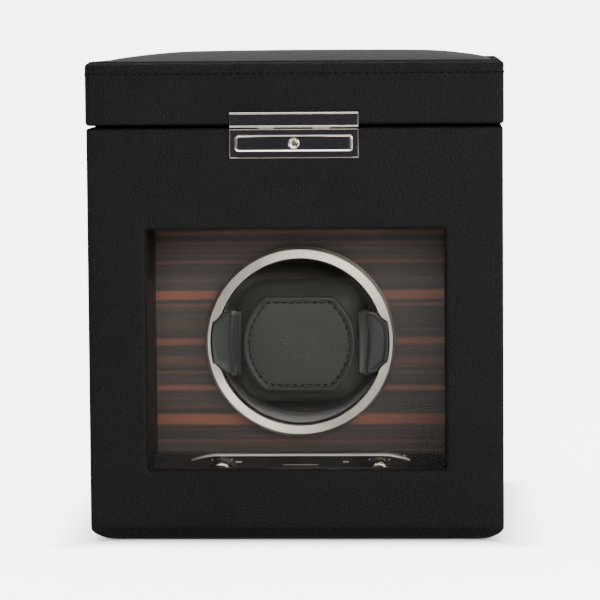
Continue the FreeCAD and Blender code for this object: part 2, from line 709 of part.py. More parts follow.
def lid_side_profile(half, rim, crown, low):
    """Wire of a lid section: straight sides, then a low padded crown."""
    shoulder = 16.0
    points = [
        Vector(-half, 0, low),
        Vector(-half, 0, rim),
        Vector(-half + shoulder * 0.35, 0, rim + (crown - rim) * 0.55),
        Vector(-half + shoulder, 0, rim + (crown - rim) * 0.82),
        Vector(0, 0, crown),
        Vector(half - shoulder, 0, rim + (crown - rim) * 0.82),
        Vector(half - shoulder * 0.35, 0, rim + (crown - rim) * 0.55),
        Vector(half, 0, rim),
        Vector(half, 0, low),
    ]
    top = [
        Part.Arc(points[1], points[2], points[3]).toShape(),
        Part.Arc(points[3], points[4], points[5]).toShape(),
        Part.Arc(points[5], points[6], points[7]).toShape(),
    ]
    sides = [
        Part.LineSegment(points[0], points[1]).toShape(),
        Part.LineSegment(points[7], points[8]).toShape(),
        Part.LineSegment(points[8], points[0]).toShape(),
    ]
    return Part.Wire([sides[0]] + top + [sides[1], sides[2]])


def lid_blank(inset, low):
    """Outer shape of the lid, inset by the leather thickness; two crossed profiles."""
    half_x = LID_HALF_X - inset
    half_y = FACE_Y - inset
    rim = LID_RIM - inset
    crown = LID_CROWN - inset
    across = Part.Face(lid_side_profile(half_x, rim, crown, low))
    across.translate(Vector(0, -half_y, 0))
    along = Part.Face(lid_side_profile(half_y, rim, crown, low))
    along.rotate(Vector(0, 0, 0), Z_AXIS, 90)
    along.translate(Vector(-half_x, 0, 0))
    return across.extrude(Vector(0, 2 * half_y, 0)).common(along.extrude(Vector(2 * half_x, 0, 0)))


def lid_rail_front():
    half = LID_HALF_X - LEATHER
    return box(-half, half, -FACE_Y + LEATHER, -FACE_Y + LEATHER + LID_RAIL, LID_LOW + LEATHER, LID_BOARD_LOW)


def lid_rail_back():
    return cut_all(lid_rail_front().mirror(Vector(0, 0, 0), Y_AXIS), knuckle_gains())


def lid_rails_side():
    half = LID_HALF_X - LEATHER
    reach = FACE_Y - LEATHER - LID_RAIL
    return mirrored_pair(box(half - LID_RAIL, half, -reach, reach, LID_LOW + LEATHER, LID_BOARD_LOW))


def lid_top_board():
    half_x = LID_HALF_X - LEATHER
    half_y = FACE_Y - LEATHER
    return box(-half_x, half_x, -half_y, half_y, LID_BOARD_LOW, LID_BOARD_HIGH)


def lid_foam_pad():
    blank = lid_blank(LEATHER, LID_LOW)
    return blank.common(box(-200, 200, -200, 200, LID_BOARD_HIGH, 300))


def lid_leather_cover():
    """Leather over the pad and down the four sides, turned under the rails."""
    cover = lid_blank(0, LID_LOW).cut(lid_blank(LEATHER, LID_LOW + LEATHER))
    inner_x = LID_HALF_X - LEATHER - LID_RAIL
    inner_y = FACE_Y - LEATHER - LID_RAIL
    cover = cover.cut(box(-inner_x, inner_x, -inner_y, inner_y, 200, LID_BOARD_LOW))
    return cut_all(cover, knuckle_gains())


def lid_lining():
    inner_x = LID_HALF_X - LEATHER - LID_RAIL
    inner_y = FACE_Y - LEATHER - LID_RAIL
    return box(-inner_x, inner_x, -inner_y, inner_y, LID_BOARD_LOW - LINING, LID_BOARD_LOW)


# ---------------- lid hinges ----------------

def hinge_leaf(z0, z1, spans):
    """One leaf at the right: plate on the back of the case with its share of the knuckles."""
    half = LID_HINGE_LENGTH / 2
    leaf = box(LID_HINGE_X - half, LID_HINGE_X + half, FACE_Y, FACE_Y + LEAF_THICK, z0, z1)
    knuckles = []
    for x0, x1 in spans:
        barrel = rod_x(LID_KNUCKLE_R, LID_HINGE_X + x0, LID_HINGE_X + x1, LID_HINGE_Y, LID_HINGE_Z)
        web_low = min(z1, LID_HINGE_Z)
        web_high = max(z0, LID_HINGE_Z)
        web = box(LID_HINGE_X + x0, LID_HINGE_X + x1, FACE_Y, FACE_Y + LEAF_THICK, web_low, web_high)
        knuckles += [barrel, web]
    leaf = leaf.fuse(knuckles).removeSplitter()
    bore = rod_x(LID_PIN_R + HINGE_PLAY, 0, 200, LID_HINGE_Y, LID_HINGE_Z)
    return leaf.cut(bore)


def body_hinge_leaves():
    gap = KNUCKLE_SPAN / 2 + 0.15
    return mirrored_pair(hinge_leaf(BODY_LEAF_LOW, BODY_LEAF_HIGH, [(-15, -gap), (gap, 15)]))


def lid_hinge_leaves():
    gap = KNUCKLE_SPAN / 2 - 0.15
    return mirrored_pair(hinge_leaf(LID_LEAF_LOW, LID_LEAF_HIGH, [(-gap, gap)]))


def lid_hinge_pins():
    return mirrored_pair(rod_x(LID_PIN_R, LID_HINGE_X - 15.4, LID_HINGE_X + 15.4, LID_HINGE_Y, LID_HINGE_Z))


# ---------------- storage compartment ----------------

def storage_floor_liner():
    half = CASE_HALF_X - LEATHER - BOARD
    return box(-half, half, CARCASS_FRONT + BOARD, FACE_Y - LEATHER - BOARD, SHELF_HIGH, SHELF_HIGH + LINING)


def storage_divider():
    half = CASE_HALF_X - LEATHER - BOARD
    return box(-half, half, DIVIDER_Y, DIVIDER_Y + DIVIDER_THICK, SHELF_HIGH + LINING, CASE_TOP - 8)


def build():
    os.makedirs("parts", exist_ok=True)
    pieces = [
        base_pad, base_board, side_boards, back_board, shelf_board, storage_front_board,
        body_leather_wrap, bay_walls, bay_floor_liner, bay_ceiling_liner, fascia_panel,
        control_plinth, control_fascia, console_trim, rotary_switches, control_pcb,
        drive_plate, drum_bearing, gear_motor, motor_screws, power_jack, jack_pin, jack_nut,
        storage_floor_liner, storage_divider, body_hinge_leaves, lid_hinge_pins,
        door_hinge_arms, lid_top_board, lid_rail_front, lid_rail_back, lid_rails_side,
        lid_foam_pad, lid_leather_cover, lid_lining, hasp_plate, lid_hinge_leaves,
        door_leather_cover, door_lining, window_glass, glass_bead, lock_plate, lock_case,
        door_hinge_pins, push_bar, key_cylinder, drum_cup, drum_ring, drum_gear, drum_shaft,
        cuff_core, cuff_pad, cuff_patch, cuff_ends, drive_pinion,
    ]
    for piece in pieces:
        export(piece(), piece.__name__)
    export(knob(-KNOB_X), "direction_knob")
    export(knob(KNOB_X), "turns_knob")

    blank = door_cores()
    half = CASE_HALF_X
    inner = WINDOW_HALF_X + 1
    stile_low = WINDOW_LOW - 1
    stile_high = WINDOW_HIGH + 1
    export(door_piece(blank, -half, half, 0, stile_low), "door_bottom_rail")
    export(door_piece(blank, -half, half, stile_high, 300), "door_top_rail")
    stiles = [door_piece(blank, inner, half, stile_low, stile_high),
              door_piece(blank, -half, -inner, stile_low, stile_high)]
    export(Part.makeCompound([s for stile in stiles for s in stile.Solids]), "door_stiles")


build()
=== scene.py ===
import json
import math

import bmesh
import bpy
from mathutils import Matrix, Vector


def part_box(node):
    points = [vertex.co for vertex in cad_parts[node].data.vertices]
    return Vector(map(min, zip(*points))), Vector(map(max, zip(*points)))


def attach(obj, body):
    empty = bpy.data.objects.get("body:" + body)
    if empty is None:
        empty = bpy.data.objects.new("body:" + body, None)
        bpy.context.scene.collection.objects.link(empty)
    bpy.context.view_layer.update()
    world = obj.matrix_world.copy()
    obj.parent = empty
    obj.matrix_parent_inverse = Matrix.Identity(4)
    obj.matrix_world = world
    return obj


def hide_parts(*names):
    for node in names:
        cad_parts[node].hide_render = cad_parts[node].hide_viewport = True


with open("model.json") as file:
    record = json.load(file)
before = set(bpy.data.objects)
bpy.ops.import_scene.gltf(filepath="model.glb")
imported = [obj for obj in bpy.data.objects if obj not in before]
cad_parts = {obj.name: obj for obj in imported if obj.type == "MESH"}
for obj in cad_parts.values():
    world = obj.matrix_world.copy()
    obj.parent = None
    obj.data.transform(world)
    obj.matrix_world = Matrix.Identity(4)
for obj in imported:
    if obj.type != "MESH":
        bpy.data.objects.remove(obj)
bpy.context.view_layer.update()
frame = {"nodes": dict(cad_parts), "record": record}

MM = 0.001
NODES = frame["nodes"]


def joint_place(name):
    """Position of a joint in the row frame."""
    for joint in frame["record"]["behaviour"]["joints"]:
        if joint["name"] == name:
            return Vector(joint["pos_m"])
    raise ValueError("no joint " + name)


# ---------------- places read from the frame ----------------

WRAP_LOW, WRAP_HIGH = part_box("body_leather_wrap")
LID_LOW, LID_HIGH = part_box("lid_leather_cover")
DOOR_LOW, DOOR_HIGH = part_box("door_leather_cover")
GLASS_LOW, GLASS_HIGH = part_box("window_glass")
RING_LOW, RING_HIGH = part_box("drum_ring")
PAD_LOW, PAD_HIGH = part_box("cuff_pad")
PATCH_LOW, PATCH_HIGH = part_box("cuff_patch")
ENDS_LOW, ENDS_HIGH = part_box("cuff_ends")
HASP_LOW, HASP_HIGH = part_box("hasp_plate")
LOCK_LOW, LOCK_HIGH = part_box("lock_plate")
BAR_LOW, BAR_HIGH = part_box("push_bar")
KEY_LOW, KEY_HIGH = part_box("key_cylinder")
TRIM_LOW, TRIM_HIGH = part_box("console_trim")
CONSOLE_LOW, CONSOLE_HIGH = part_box("control_fascia")

FACE_Y = DOOR_LOW[1]
HALF_X = DOOR_HIGH[0]
DOOR_AXIS = joint_place("door_hinge")
LID_AXIS = joint_place("lid_hinge")
DRUM_AXIS = joint_place("drum_spin")
BAR_MIDDLE = (BAR_LOW[2] + BAR_HIGH[2]) / 2
WINDOW_INSET = 4.6 * MM
WINDOW = (GLASS_LOW[0] + WINDOW_INSET, GLASS_HIGH[0] - WINDOW_INSET,
          GLASS_LOW[2] + WINDOW_INSET, GLASS_HIGH[2] - WINDOW_INSET)
BAY_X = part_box("fascia_panel")[1][0]
RING_OUTER = RING_HIGH[0]
RING_INNER = RING_OUTER - 6.3 * MM
LID_SEAM = LID_HIGH[2] - 5.2 * MM
CASE_ROUND = 9 * MM         # radius of the long bottom edges
TONGUE_X = 13.5 * MM        # hasp tongues, each side of the middle
DOOR_HINGE_X = 80 * MM      # door hinges, each side of the middle
STITCH_PITCH = 3.7 * MM
STITCH_LENGTH = 2.5 * MM
BACKDROP = 6.0              # strength of the background as the camera sees it
FLOOR_LIFT = 4.9            # light added to the floor as the camera sees it


# ---------------- mesh helpers ----------------

def make_object(name, verts, faces, materials, smooth=True, face_material=None):
    mesh = bpy.data.meshes.new(name)
    mesh.from_pydata([tuple(v) for v in verts], [], faces)
    mesh.validate()
    mesh.update()
    obj = bpy.data.objects.new(name, mesh)
    bpy.context.scene.collection.objects.link(obj)
    for material in materials:
        mesh.materials.append(material)
    for polygon in mesh.polygons:
        polygon.use_smooth = smooth
        if face_material is not None:
            polygon.material_index = face_material(polygon)
    return obj


def fix_normals(obj):
    bm = bmesh.new()
    bm.from_mesh(obj.data)
    bmesh.ops.recalc_face_normals(bm, faces=bm.faces)
    bm.to_mesh(obj.data)
    bm.free()


def freeze(obj):
    """Applies the object's modifiers to its mesh."""
    bpy.context.view_layer.update()
    graph = bpy.context.evaluated_depsgraph_get()
    mesh = bpy.data.meshes.new_from_object(obj.evaluated_get(graph))
    obj.modifiers.clear()
    obj.data = mesh
    return obj


def add_bevel(obj, width, segments=3, angle=35):
    bevel = obj.modifiers.new("edges", "BEVEL")
    bevel.width = width
    bevel.segments = segments
    bevel.limit_method = "ANGLE"
    bevel.angle_limit = math.radians(angle)
    return obj


def sharp_by_angle(obj, degrees=38):
    """Smooth shading that breaks at real edges."""
    limit = math.radians(degrees)
    bm = bmesh.new()
    bm.from_mesh(obj.data)
    for edge in bm.edges:
        if len(edge.link_faces) == 2:
            edge.smooth = edge.calc_face_angle(0) < limit
    for face in bm.faces:
        face.smooth = True
    bm.to_mesh(obj.data)
    bm.free()
    return obj


def rounded_rect(x0, x1, y0, y1, radii, per_side=12, per_corner=6):
    """Closed outline; radii are for the corners low-low, high-low, high-high, low-high."""
    centres = [
        (x0 + radii[0], y0 + radii[0], radii[0], 180),
        (x1 - radii[1], y0 + radii[1], radii[1], 270),
        (x1 - radii[2], y1 - radii[2], radii[2], 0),
        (x0 + radii[3], y1 - radii[3], radii[3], 90),
    ]
    arcs = []
    for cx, cy, radius, start in centres:
        arc = []
        for k in range(per_corner + 1):
            angle = math.radians(start + 90 * k / per_corner)
            arc.append((cx + radius * math.cos(angle), cy + radius * math.sin(angle)))
        arcs.append(arc)
    points = []
    for index, arc in enumerate(arcs):
        points += arc
        after = arcs[(index + 1) % 4][0]
        for k in range(1, per_side):
            t = k / per_side
            points.append((arc[-1][0] * (1 - t) + after[0] * t, arc[-1][1] * (1 - t) + after[1] * t))
    return points


def loft(loops, ring=False):
    """Faces between loops of equal length; ring joins the last loop back to the first."""
    count = len(loops[0])
    verts = [v for loop in loops for v in loop]
    faces = []
    spans = len(loops) if ring else len(loops) - 1
    for k in range(spans):
        a = k * count
        b = ((k + 1) % len(loops)) * count
        for i in range(count):
            j = (i + 1) % count
            faces.append((a + i, a + j, b + j, b + i))
    if not ring:
        faces.append(tuple(range(count - 1, -1, -1)))
        last = (len(loops) - 1) * count
        faces.append(tuple(range(last, last + count)))
    return verts, faces


def lofted(name, loops, materials, ring=False, face_material=None):
    """Object with its skin drawn over the loops."""
    verts, faces = loft(loops, ring)
    obj = make_object(name, verts, faces, materials, face_material=face_material)
    fix_normals(obj)
    return obj


def upright(outline, y):
    """Points of an (x, z) outline in the upright plane at y."""
    return [Vector((x, y, z)) for x, z in outline]


def level(outline, z):
    """Points of an (x, y) outline at the height z."""
    return [Vector((x, y, z)) for x, y in outline]


def around(centre, radius, angle, y):
    """Point on a circle about the Y direction, with the angle from straight up."""
    return Vector((centre[0] + radius * math.sin(angle), y, centre[2] + radius * math.cos(angle)))


def quarter(steps):
    """Angles from 0 to a right angle in equal steps."""
    return [math.pi / 2 * k / steps for k in range(steps + 1)]


def box_mesh(name, low, high, material=None):
    x0, y0, z0 = low
    x1, y1, z1 = high
    verts = [(x, y, z) for z in (z0, z1) for y in (y0, y1) for x in (x0, x1)]
    faces = [(0, 2, 3, 1), (4, 5, 7, 6), (0, 1, 5, 4), (2, 6, 7, 3), (0, 4, 6, 2), (1, 3, 7, 5)]
    return make_object(name, verts, faces, [material] if material else [], smooth=False)


def tube_mesh(name, centre, axis, radius, length, segments=48):
    """Solid cylinder from centre along axis, used as a cutter."""
    axis = Vector(axis).normalized()
    side = axis.orthogonal().normalized()
    other = axis.cross(side)
    loops = []
    for step in (0, length):
        loops.append([Vector(centre) + axis * step + side * radius * math.cos(2 * math.pi * k / segments)
                      + other * radius * math.sin(2 * math.pi * k / segments) for k in range(segments)])
    verts, faces = loft(loops)
    obj = make_object(name, verts, faces, [], smooth=False)
    fix_normals(obj)
    return obj


def carve(obj, cutters):
    """Subtracts the cutter objects, which are then removed."""
    for cutter in cutters:
        fix_normals(cutter)
        cut = obj.modifiers.new("carve", "BOOLEAN")
        cut.operation = "DIFFERENCE"
        cut.solver = "EXACT"
        cut.object = cutter
    freeze(obj)
    for cutter in cutters:
        bpy.data.objects.remove(cutter)
    return obj


def joined(name, parts):
    """One object from several."""
    bpy.ops.object.select_all(action="DESELECT")
    for part in parts:
        part.select_set(True)
    bpy.context.view_layer.objects.active = parts[0]
    bpy.ops.object.join()
    parts[0].name = name
    return parts[0]


def revolve(name, profile, centre, material, segments=160, smooth_angle=30):
    """Solid of revolution about the Y direction; profile is a closed list of (radius, y)."""
    loops = []
    for k in range(segments):
        loops.append([around(centre, r, 2 * math.pi * k / segments, y) for r, y in profile])
    return sharp_by_angle(lofted(name, loops, [material], ring=True), smooth_angle)


def lathe_solid(name, profile, centre, material, segments=96, smooth_angle=30):
    """Closed turned piece about the Y direction; profile runs from axis to axis."""
    loops = []
    for r, y in profile:
        loops.append([around(centre, max(r, 1e-6), 2 * math.pi * k / segments, y) for k in range(segments)])
    return sharp_by_angle(lofted(name, loops, [material]), smooth_angle)


# ---------------- material helpers ----------------

class Nodes:
    """Short way to build a node tree; place is the texture coordinate that it starts from."""

    def __init__(self, tree, place):
        self.tree = tree
        self.place = self.node("ShaderNodeTexCoord").outputs[place]

    def node(self, kind, inputs=None, **settings):
        made = self.tree.nodes.new(kind)
        for key, value in settings.items():
            setattr(made, key, value)
        for key, value in (inputs or {}).items():
            made.inputs[key].default_value = value
        return made

    def link(self, a, b):
        self.tree.links.new(a, b)

    def scaled(self, factors):
        mapping = self.node("ShaderNodeMapping", {"Scale": factors})
        self.link(self.place, mapping.inputs["Vector"])
        return mapping.outputs["Vector"]

    def noise(self, scale, detail=3, rough=0.55, vector=None):
        noise = self.node("ShaderNodeTexNoise", {"Scale": scale, "Detail": detail, "Roughness": rough})
        self.link(vector if vector is not None else self.place, noise.inputs["Vector"])
        return noise.outputs["Fac"]

    def voronoi(self, scale, feature="F1", vector=None):
        cells = self.node("ShaderNodeTexVoronoi", {"Scale": scale}, feature=feature)
        self.link(vector if vector is not None else self.place, cells.inputs["Vector"])
        return cells.outputs["Distance"]

    def math(self, operation, a, b=None, clamp=False):
        node = self.node("ShaderNodeMath", operation=operation, use_clamp=clamp)
        for socket, value in zip(node.inputs, (a, b)):
            if value is None:
                continue
            if isinstance(value, (int, float)):
                socket.default_value = value
            else:
                self.link(value, socket)
        return node.outputs[0]

    def spread(self, value, low, high):
        """A value from 0 to 1 spread between low and high."""
        return self.math("ADD", low, self.math("MULTIPLY", value, high - low))

    def above(self, value, start, gain):
        """How far a value is past start, times gain, kept between 0 and 1."""
        return self.math("MULTIPLY", self.math("SUBTRACT", value, start), gain, clamp=True)

    def axes(self):
        parts = self.node("ShaderNodeSeparateXYZ")
        self.link(self.place, parts.inputs[0])
        return parts.outputs

    def ramp(self, factor, stops):
        ramp = self.node("ShaderNodeValToRGB")
        elements = ramp.color_ramp.elements
        while len(elements) < len(stops):
            elements.new(0.5)
        for element, (position, colour) in zip(elements, stops):
            element.position = position
            element.color = tuple(colour) + (1,)
        self.link(factor, ramp.inputs["Fac"])
        return ramp.outputs["Color"]

    def mix(self, factor, a, b):
        mix = self.node("ShaderNodeMix", data_type="RGBA")
        self.link(factor, mix.inputs["Factor"])
        for socket, value in ((mix.inputs[6], a), (mix.inputs[7], b)):
            if isinstance(value, tuple):
                socket.default_value = value + (1,)
            else:
                self.link(value, socket)
        return mix.outputs[2]

    def bump(self, height, distance, strength=1.0, under=None):
        bump = self.node("ShaderNodeBump", {"Distance": distance, "Strength": strength})
        self.link(height, bump.inputs["Height"])
        if under is not None:
            self.link(under, bump.inputs["Normal"])
        return bump.outputs["Normal"]

    def blend(self, factor, first, second, out):
        """Mixes two shaders into the output node."""
        mix = self.node("ShaderNodeMixShader")
        for socket, source in zip(mix.inputs, (factor, first.outputs[0], second.outputs[0])):
            self.link(source, socket)
        self.link(mix.outputs[0], out.inputs["Surface"])


class Shader(Nodes):
    """Node material around one Principled shader; values go on that shader's own sockets."""

    def __init__(self, name, **values):
        self.material = bpy.data.materials.new(name)
        self.material.use_nodes = True
        super().__init__(self.material.node_tree, "Object")
        self.main = self.tree.nodes["Principled BSDF"]
        for key, value in values.items():
            self.main.inputs[key.replace("_", " ")].default_value = value

    def finish(self, colour, roughness=None, normal=None):
        for key, source in (("Base Color", colour), ("Roughness", roughness), ("Normal", normal)):
            if source is not None:
                self.link(source, self.main.inputs[key])
        return self.material


# ---------------- materials ----------------

def leather(name, dark, light, grain=1050.0, depth=0.22, gloss=(0.40, 0.56), shine=0.26):
    """Pebble-grained leather: raised cells with fine creases; the colour follows the relief, painted
    highlight on the pebbles and painted shade in the creases.
    """
    s = Shader(name, Specular_IOR_Level=shine)
    warp = s.noise(420, 2)
    shifted = s.node("ShaderNodeVectorMath", operation="MULTIPLY_ADD")
    s.link(warp, shifted.inputs[0])
    shifted.inputs[1].default_value = (0.0012, 0.0012, 0.0012)
    s.link(s.place, shifted.inputs[2])
    cells = s.voronoi(grain, vector=shifted.outputs[0])
    fine = s.voronoi(grain * 2.3, vector=shifted.outputs[0])
    relief = s.math("ADD", s.math("MULTIPLY", cells, 0.8), s.math("MULTIPLY", fine, 0.3))
    pebble = s.math("SUBTRACT", 1.0, relief)
    blotch = s.noise(34, 4)
    # painted shade and highlight: random blotches mixed with the pebble relief, darker in the creases and
    # lighter on the pebble tops
    colour = s.ramp(s.math("MULTIPLY", s.math("ADD", blotch, pebble), 0.5),
                    [(0.28, dark), (0.62, light)])
    roughness = s.spread(s.noise(160, 3), *gloss)
    soft = s.bump(s.noise(60, 2), 0.0006, 0.25)
    normal = s.bump(pebble, depth * MM, 1.0, under=soft)
    return s.finish(colour, roughness, normal)


STRIPES = (   # height above the table in mm, half thickness in mm, strength
    (150.3, 0.6, 0.55), (145.0, 0.5, 0.30), (135.5, 0.6, 0.45), (118.2, 2.2, 1.00), (113.2, 0.6, 0.50),
    (94.4, 1.5, 0.70), (84.0, 2.6, 0.22), (78.3, 0.5, 0.30), (70.6, 1.2, 0.65), (54.4, 2.6, 0.95),
    (43.0, 0.7, 0.35), (27.0, 1.4, 0.60),
)


def veneer(name, dark, brown, red, coat=0.0, shine=0.35):
    """Straight-grained striped ebony: reddish bands and fine brown streaks on near-black."""
    s = Shader(name, Specular_IOR_Level=shine, Coat_Weight=coat, Coat_Roughness=0.12)
    axes = s.axes()
    height = s.math("MULTIPLY", axes["Z"], 1000.0)
    drift = s.noise(1.0, 2, vector=s.scaled((9, 9, 14)))
    wander = s.math("MULTIPLY", s.math("SUBTRACT", drift, 0.5), 3.2)
    height = s.math("ADD", height, wander)
    streak = s.noise(1.0, 5, 0.6, vector=s.scaled((7, 7, 640)))
    ragged = s.math("MULTIPLY", s.math("SUBTRACT", streak, 0.5), 1.6)
    total = None
    for middle, half, strength in STRIPES:
        away = s.math("ADD", s.math("ABSOLUTE", s.math("SUBTRACT", height, middle)), ragged)
        inside = s.math("DIVIDE", s.math("SUBTRACT", half + 0.7, away), 1.3, clamp=True)
        part = s.math("MULTIPLY", inside, strength)
        total = part if total is None else s.math("MAXIMUM", total, part)
    along = s.noise(1.0, 2, 0.5, vector=s.scaled((16, 16, 90)))
    total = s.math("MULTIPLY", total, s.math("ADD", 0.45, s.math("MULTIPLY", along, 1.0)), clamp=True)
    bands = s.noise(1.0, 4, 0.62, vector=s.scaled((3, 3, 210)))
    lighter = s.above(bands, 0.40, 2.6)
    base = s.mix(lighter, dark, brown)
    fine = s.above(streak, 0.52, 3.2)
    streak_colour = tuple(a * 0.45 + b * 0.55 for a, b in zip(red, brown))
    base = s.mix(s.math("MULTIPLY", fine, 0.85), base, streak_colour)
    colour = s.mix(total, base, red)
    pores = s.noise(1.0, 3, 0.7, vector=s.scaled((60, 60, 2600)))
    colour = s.mix(s.math("MULTIPLY", s.math("SUBTRACT", 0.45, pores, clamp=True), 1.6), colour,
                   tuple(c * 0.5 for c in dark))
    roughness = s.spread(pores, 0.34, 0.52)
    normal = s.bump(pores, 0.00001, 0.25)
    return s.finish(colour, roughness, normal)


def suede(name, dark, light):
    """Short-napped suede cloth."""
    s = Shader(name, Specular_IOR_Level=0.2, Sheen_Weight=0.35, Sheen_Roughness=0.45)
    nap = s.noise(2600, 4, 0.7)
    brushed = s.noise(90, 3)
    colour = s.ramp(s.math("MULTIPLY", s.math("ADD", nap, brushed), 0.5), [(0.3, dark), (0.72, light)])
    roughness = s.spread(brushed, 0.82, 0.97)
    return s.finish(colour, roughness, s.bump(nap, 0.00012, 0.7))


def polished(name, colour, rough=(0.08, 0.16), scratch=(4000, 60, 60), depth=0.000004):
    """Plated metal with a very fine drawn finish."""
    s = Shader(name, Metallic=1.0)
    lines = s.noise(1.0, 3, 0.6, vector=s.scaled(scratch))
    smudge = s.noise(70, 3)
    tint = s.ramp(smudge, [(0.3, tuple(c * 0.9 for c in colour)), (0.7, colour)])
    amount = s.math("MULTIPLY", s.math("ADD", lines, smudge), 0.5)
    roughness = s.spread(amount, *rough)
    return s.finish(tint, roughness, s.bump(lines, depth, 0.5))


def brushed_ring(name, colour):
    """Circular-brushed metal about the drum's axis; the tint mixes the brushing lines with broad darker and
    brighter zones of painted reflection.
    """
    s = Shader(name, Metallic=1.0, Anisotropic=0.95, Anisotropic_Rotation=0.25)
    axes = s.axes()
    up = s.math("SUBTRACT", axes["Z"], DRUM_AXIS.z)
    angle = s.math("ARCTAN2", axes["X"], up)
    radius = s.math("SQRT", s.math("ADD", s.math("POWER", axes["X"], 2.0), s.math("POWER", up, 2.0)))
    polar = s.node("ShaderNodeCombineXYZ")
    s.link(s.math("MULTIPLY", radius, 9000.0), polar.inputs[0])
    s.link(s.math("MULTIPLY", angle, 16.0), polar.inputs[1])
    s.link(s.math("MULTIPLY", axes["Y"], 9000.0), polar.inputs[2])
    lines = s.noise(1.0, 4, 0.65, vector=polar.outputs[0])
    sectors = s.node("ShaderNodeCombineXYZ")
    s.link(s.math("MULTIPLY", axes["X"], 26.0), sectors.inputs[0])
    s.link(s.math("MULTIPLY", up, 26.0), sectors.inputs[2])
    uneven = s.noise(1.0, 2, 0.5, vector=sectors.outputs[0])
    roughness = s.math("ADD", s.spread(lines, 0.14, 0.24), s.math("MULTIPLY", uneven, 0.26))
    # painted reflection: broad darker and brighter zones from the uneven noise go into the metal's tint
    # together with the brushing lines
    brushing_and_painted_reflection = s.math("ADD", s.math("MULTIPLY", lines, 0.45), s.math("MULTIPLY", uneven, 0.55))
    tint = s.ramp(brushing_and_painted_reflection, [(0.36, tuple(c * 0.42 for c in colour)), (0.62, colour)])
    tangent = s.node("ShaderNodeTangent", direction_type="RADIAL", axis="Y")
    s.link(tangent.outputs[0], s.main.inputs["Tangent"])
    return s.finish(tint, roughness, s.bump(lines, 0.00001, 0.4))


def moulded(name, dark, light, rough=(0.35, 0.55), grain=1800.0, shine=0.5):
    """Moulded plastic with a fine eroded texture."""
    s = Shader(name, Specular_IOR_Level=shine)
    fine = s.noise(grain, 3, 0.6)
    broad = s.noise(45, 3)
    colour = s.ramp(broad, [(0.3, dark), (0.7, light)])
    roughness = s.spread(broad, *rough)
    return s.finish(colour, roughness, s.bump(fine, 0.00002, 0.5))


def shade_black_fibreboard(name):
    """Fibreboard coloured near-black as painted shade, so that no pale edge shows in the seams."""
    s = Shader(name, Specular_IOR_Level=0.25)
    fibres = s.noise(900, 5, 0.7)
    # painted shade: near-black colour, so that board edges seen through the seams read as shade
    colour = s.ramp(fibres, [(0.3, (0.006, 0.0055, 0.005)), (0.7, (0.016, 0.014, 0.012))])
    roughness = s.spread(fibres, 0.7, 0.9)
    return s.finish(colour, roughness, s.bump(fibres, 0.00006, 0.6))


def clear_glass(name):
    """Float glass: straight-through view with a mirror film of reflection and faint marks."""
    material = bpy.data.materials.new(name)
    material.use_nodes = True
    n = Nodes(material.node_tree, "Object")
    n.tree.nodes.remove(n.tree.nodes["Principled BSDF"])
    clear = n.node("ShaderNodeBsdfTransparent", {"Color": (0.97, 0.975, 0.97, 1)})
    shine = n.node("ShaderNodeBsdfGlossy", {"Color": (0.9, 0.92, 0.92, 1)})
    n.link(n.math("MULTIPLY", n.noise(45, 2, 0.5), 0.012), shine.inputs["Roughness"])
    facing = n.node("ShaderNodeFresnel", {"IOR": 1.12})
    n.blend(facing.outputs[0], clear, shine, n.tree.nodes["Material Output"])
    return material


def circuit_board(name):
    s = Shader(name, Specular_IOR_Level=0.5)
    tracks = s.voronoi(240, feature="DISTANCE_TO_EDGE")
    colour = s.ramp(tracks, [(0.02, (0.03, 0.16, 0.07)), (0.08, (0.01, 0.06, 0.03))])
    return s.finish(colour, s.spread(tracks, 0.35, 0.65), s.bump(tracks, 0.00004, 0.4))


CASE_LEATHER = leather("case_leather", (0.0006, 0.0006, 0.0006), (0.0030, 0.0029, 0.0028), depth=0.38,
                       shine=0.15)
# painted highlight: the padded top gets a lighter copy of the case leather, standing in for the light that
# falls on the top
LIT_LID_TOP_LEATHER = leather("lit_lid_top_leather", (0.0010, 0.0010, 0.0009), (0.0040, 0.0038, 0.0035),
                          depth=0.26, shine=0.36)
CUFF_LEATHER = leather("cuff_leather", (0.021, 0.022, 0.0185), (0.037, 0.0385, 0.032), grain=2100,
                       depth=0.05)
PATCH_LEATHER = leather("patch_leather", (0.017, 0.018, 0.0155), (0.027, 0.028, 0.0245), grain=2400,
                        depth=0.03)
PANEL_VENEER = veneer("panel_veneer", (0.0145, 0.0125, 0.0118), (0.050, 0.030, 0.0235),
                      (0.205, 0.060, 0.034), coat=0.06)
# painted shade: the bay walls get the panel's striped veneer about ten times darker, standing in for the
# shade inside the bay
SHADED_WALL_VENEER = veneer("shaded_wall_veneer", (0.0012, 0.001, 0.001), (0.003, 0.0022, 0.002), (0.018, 0.006, 0.004),
                     shine=0.15)
LINING = suede("suede_lining", (0.012, 0.011, 0.0105), (0.030, 0.028, 0.026))
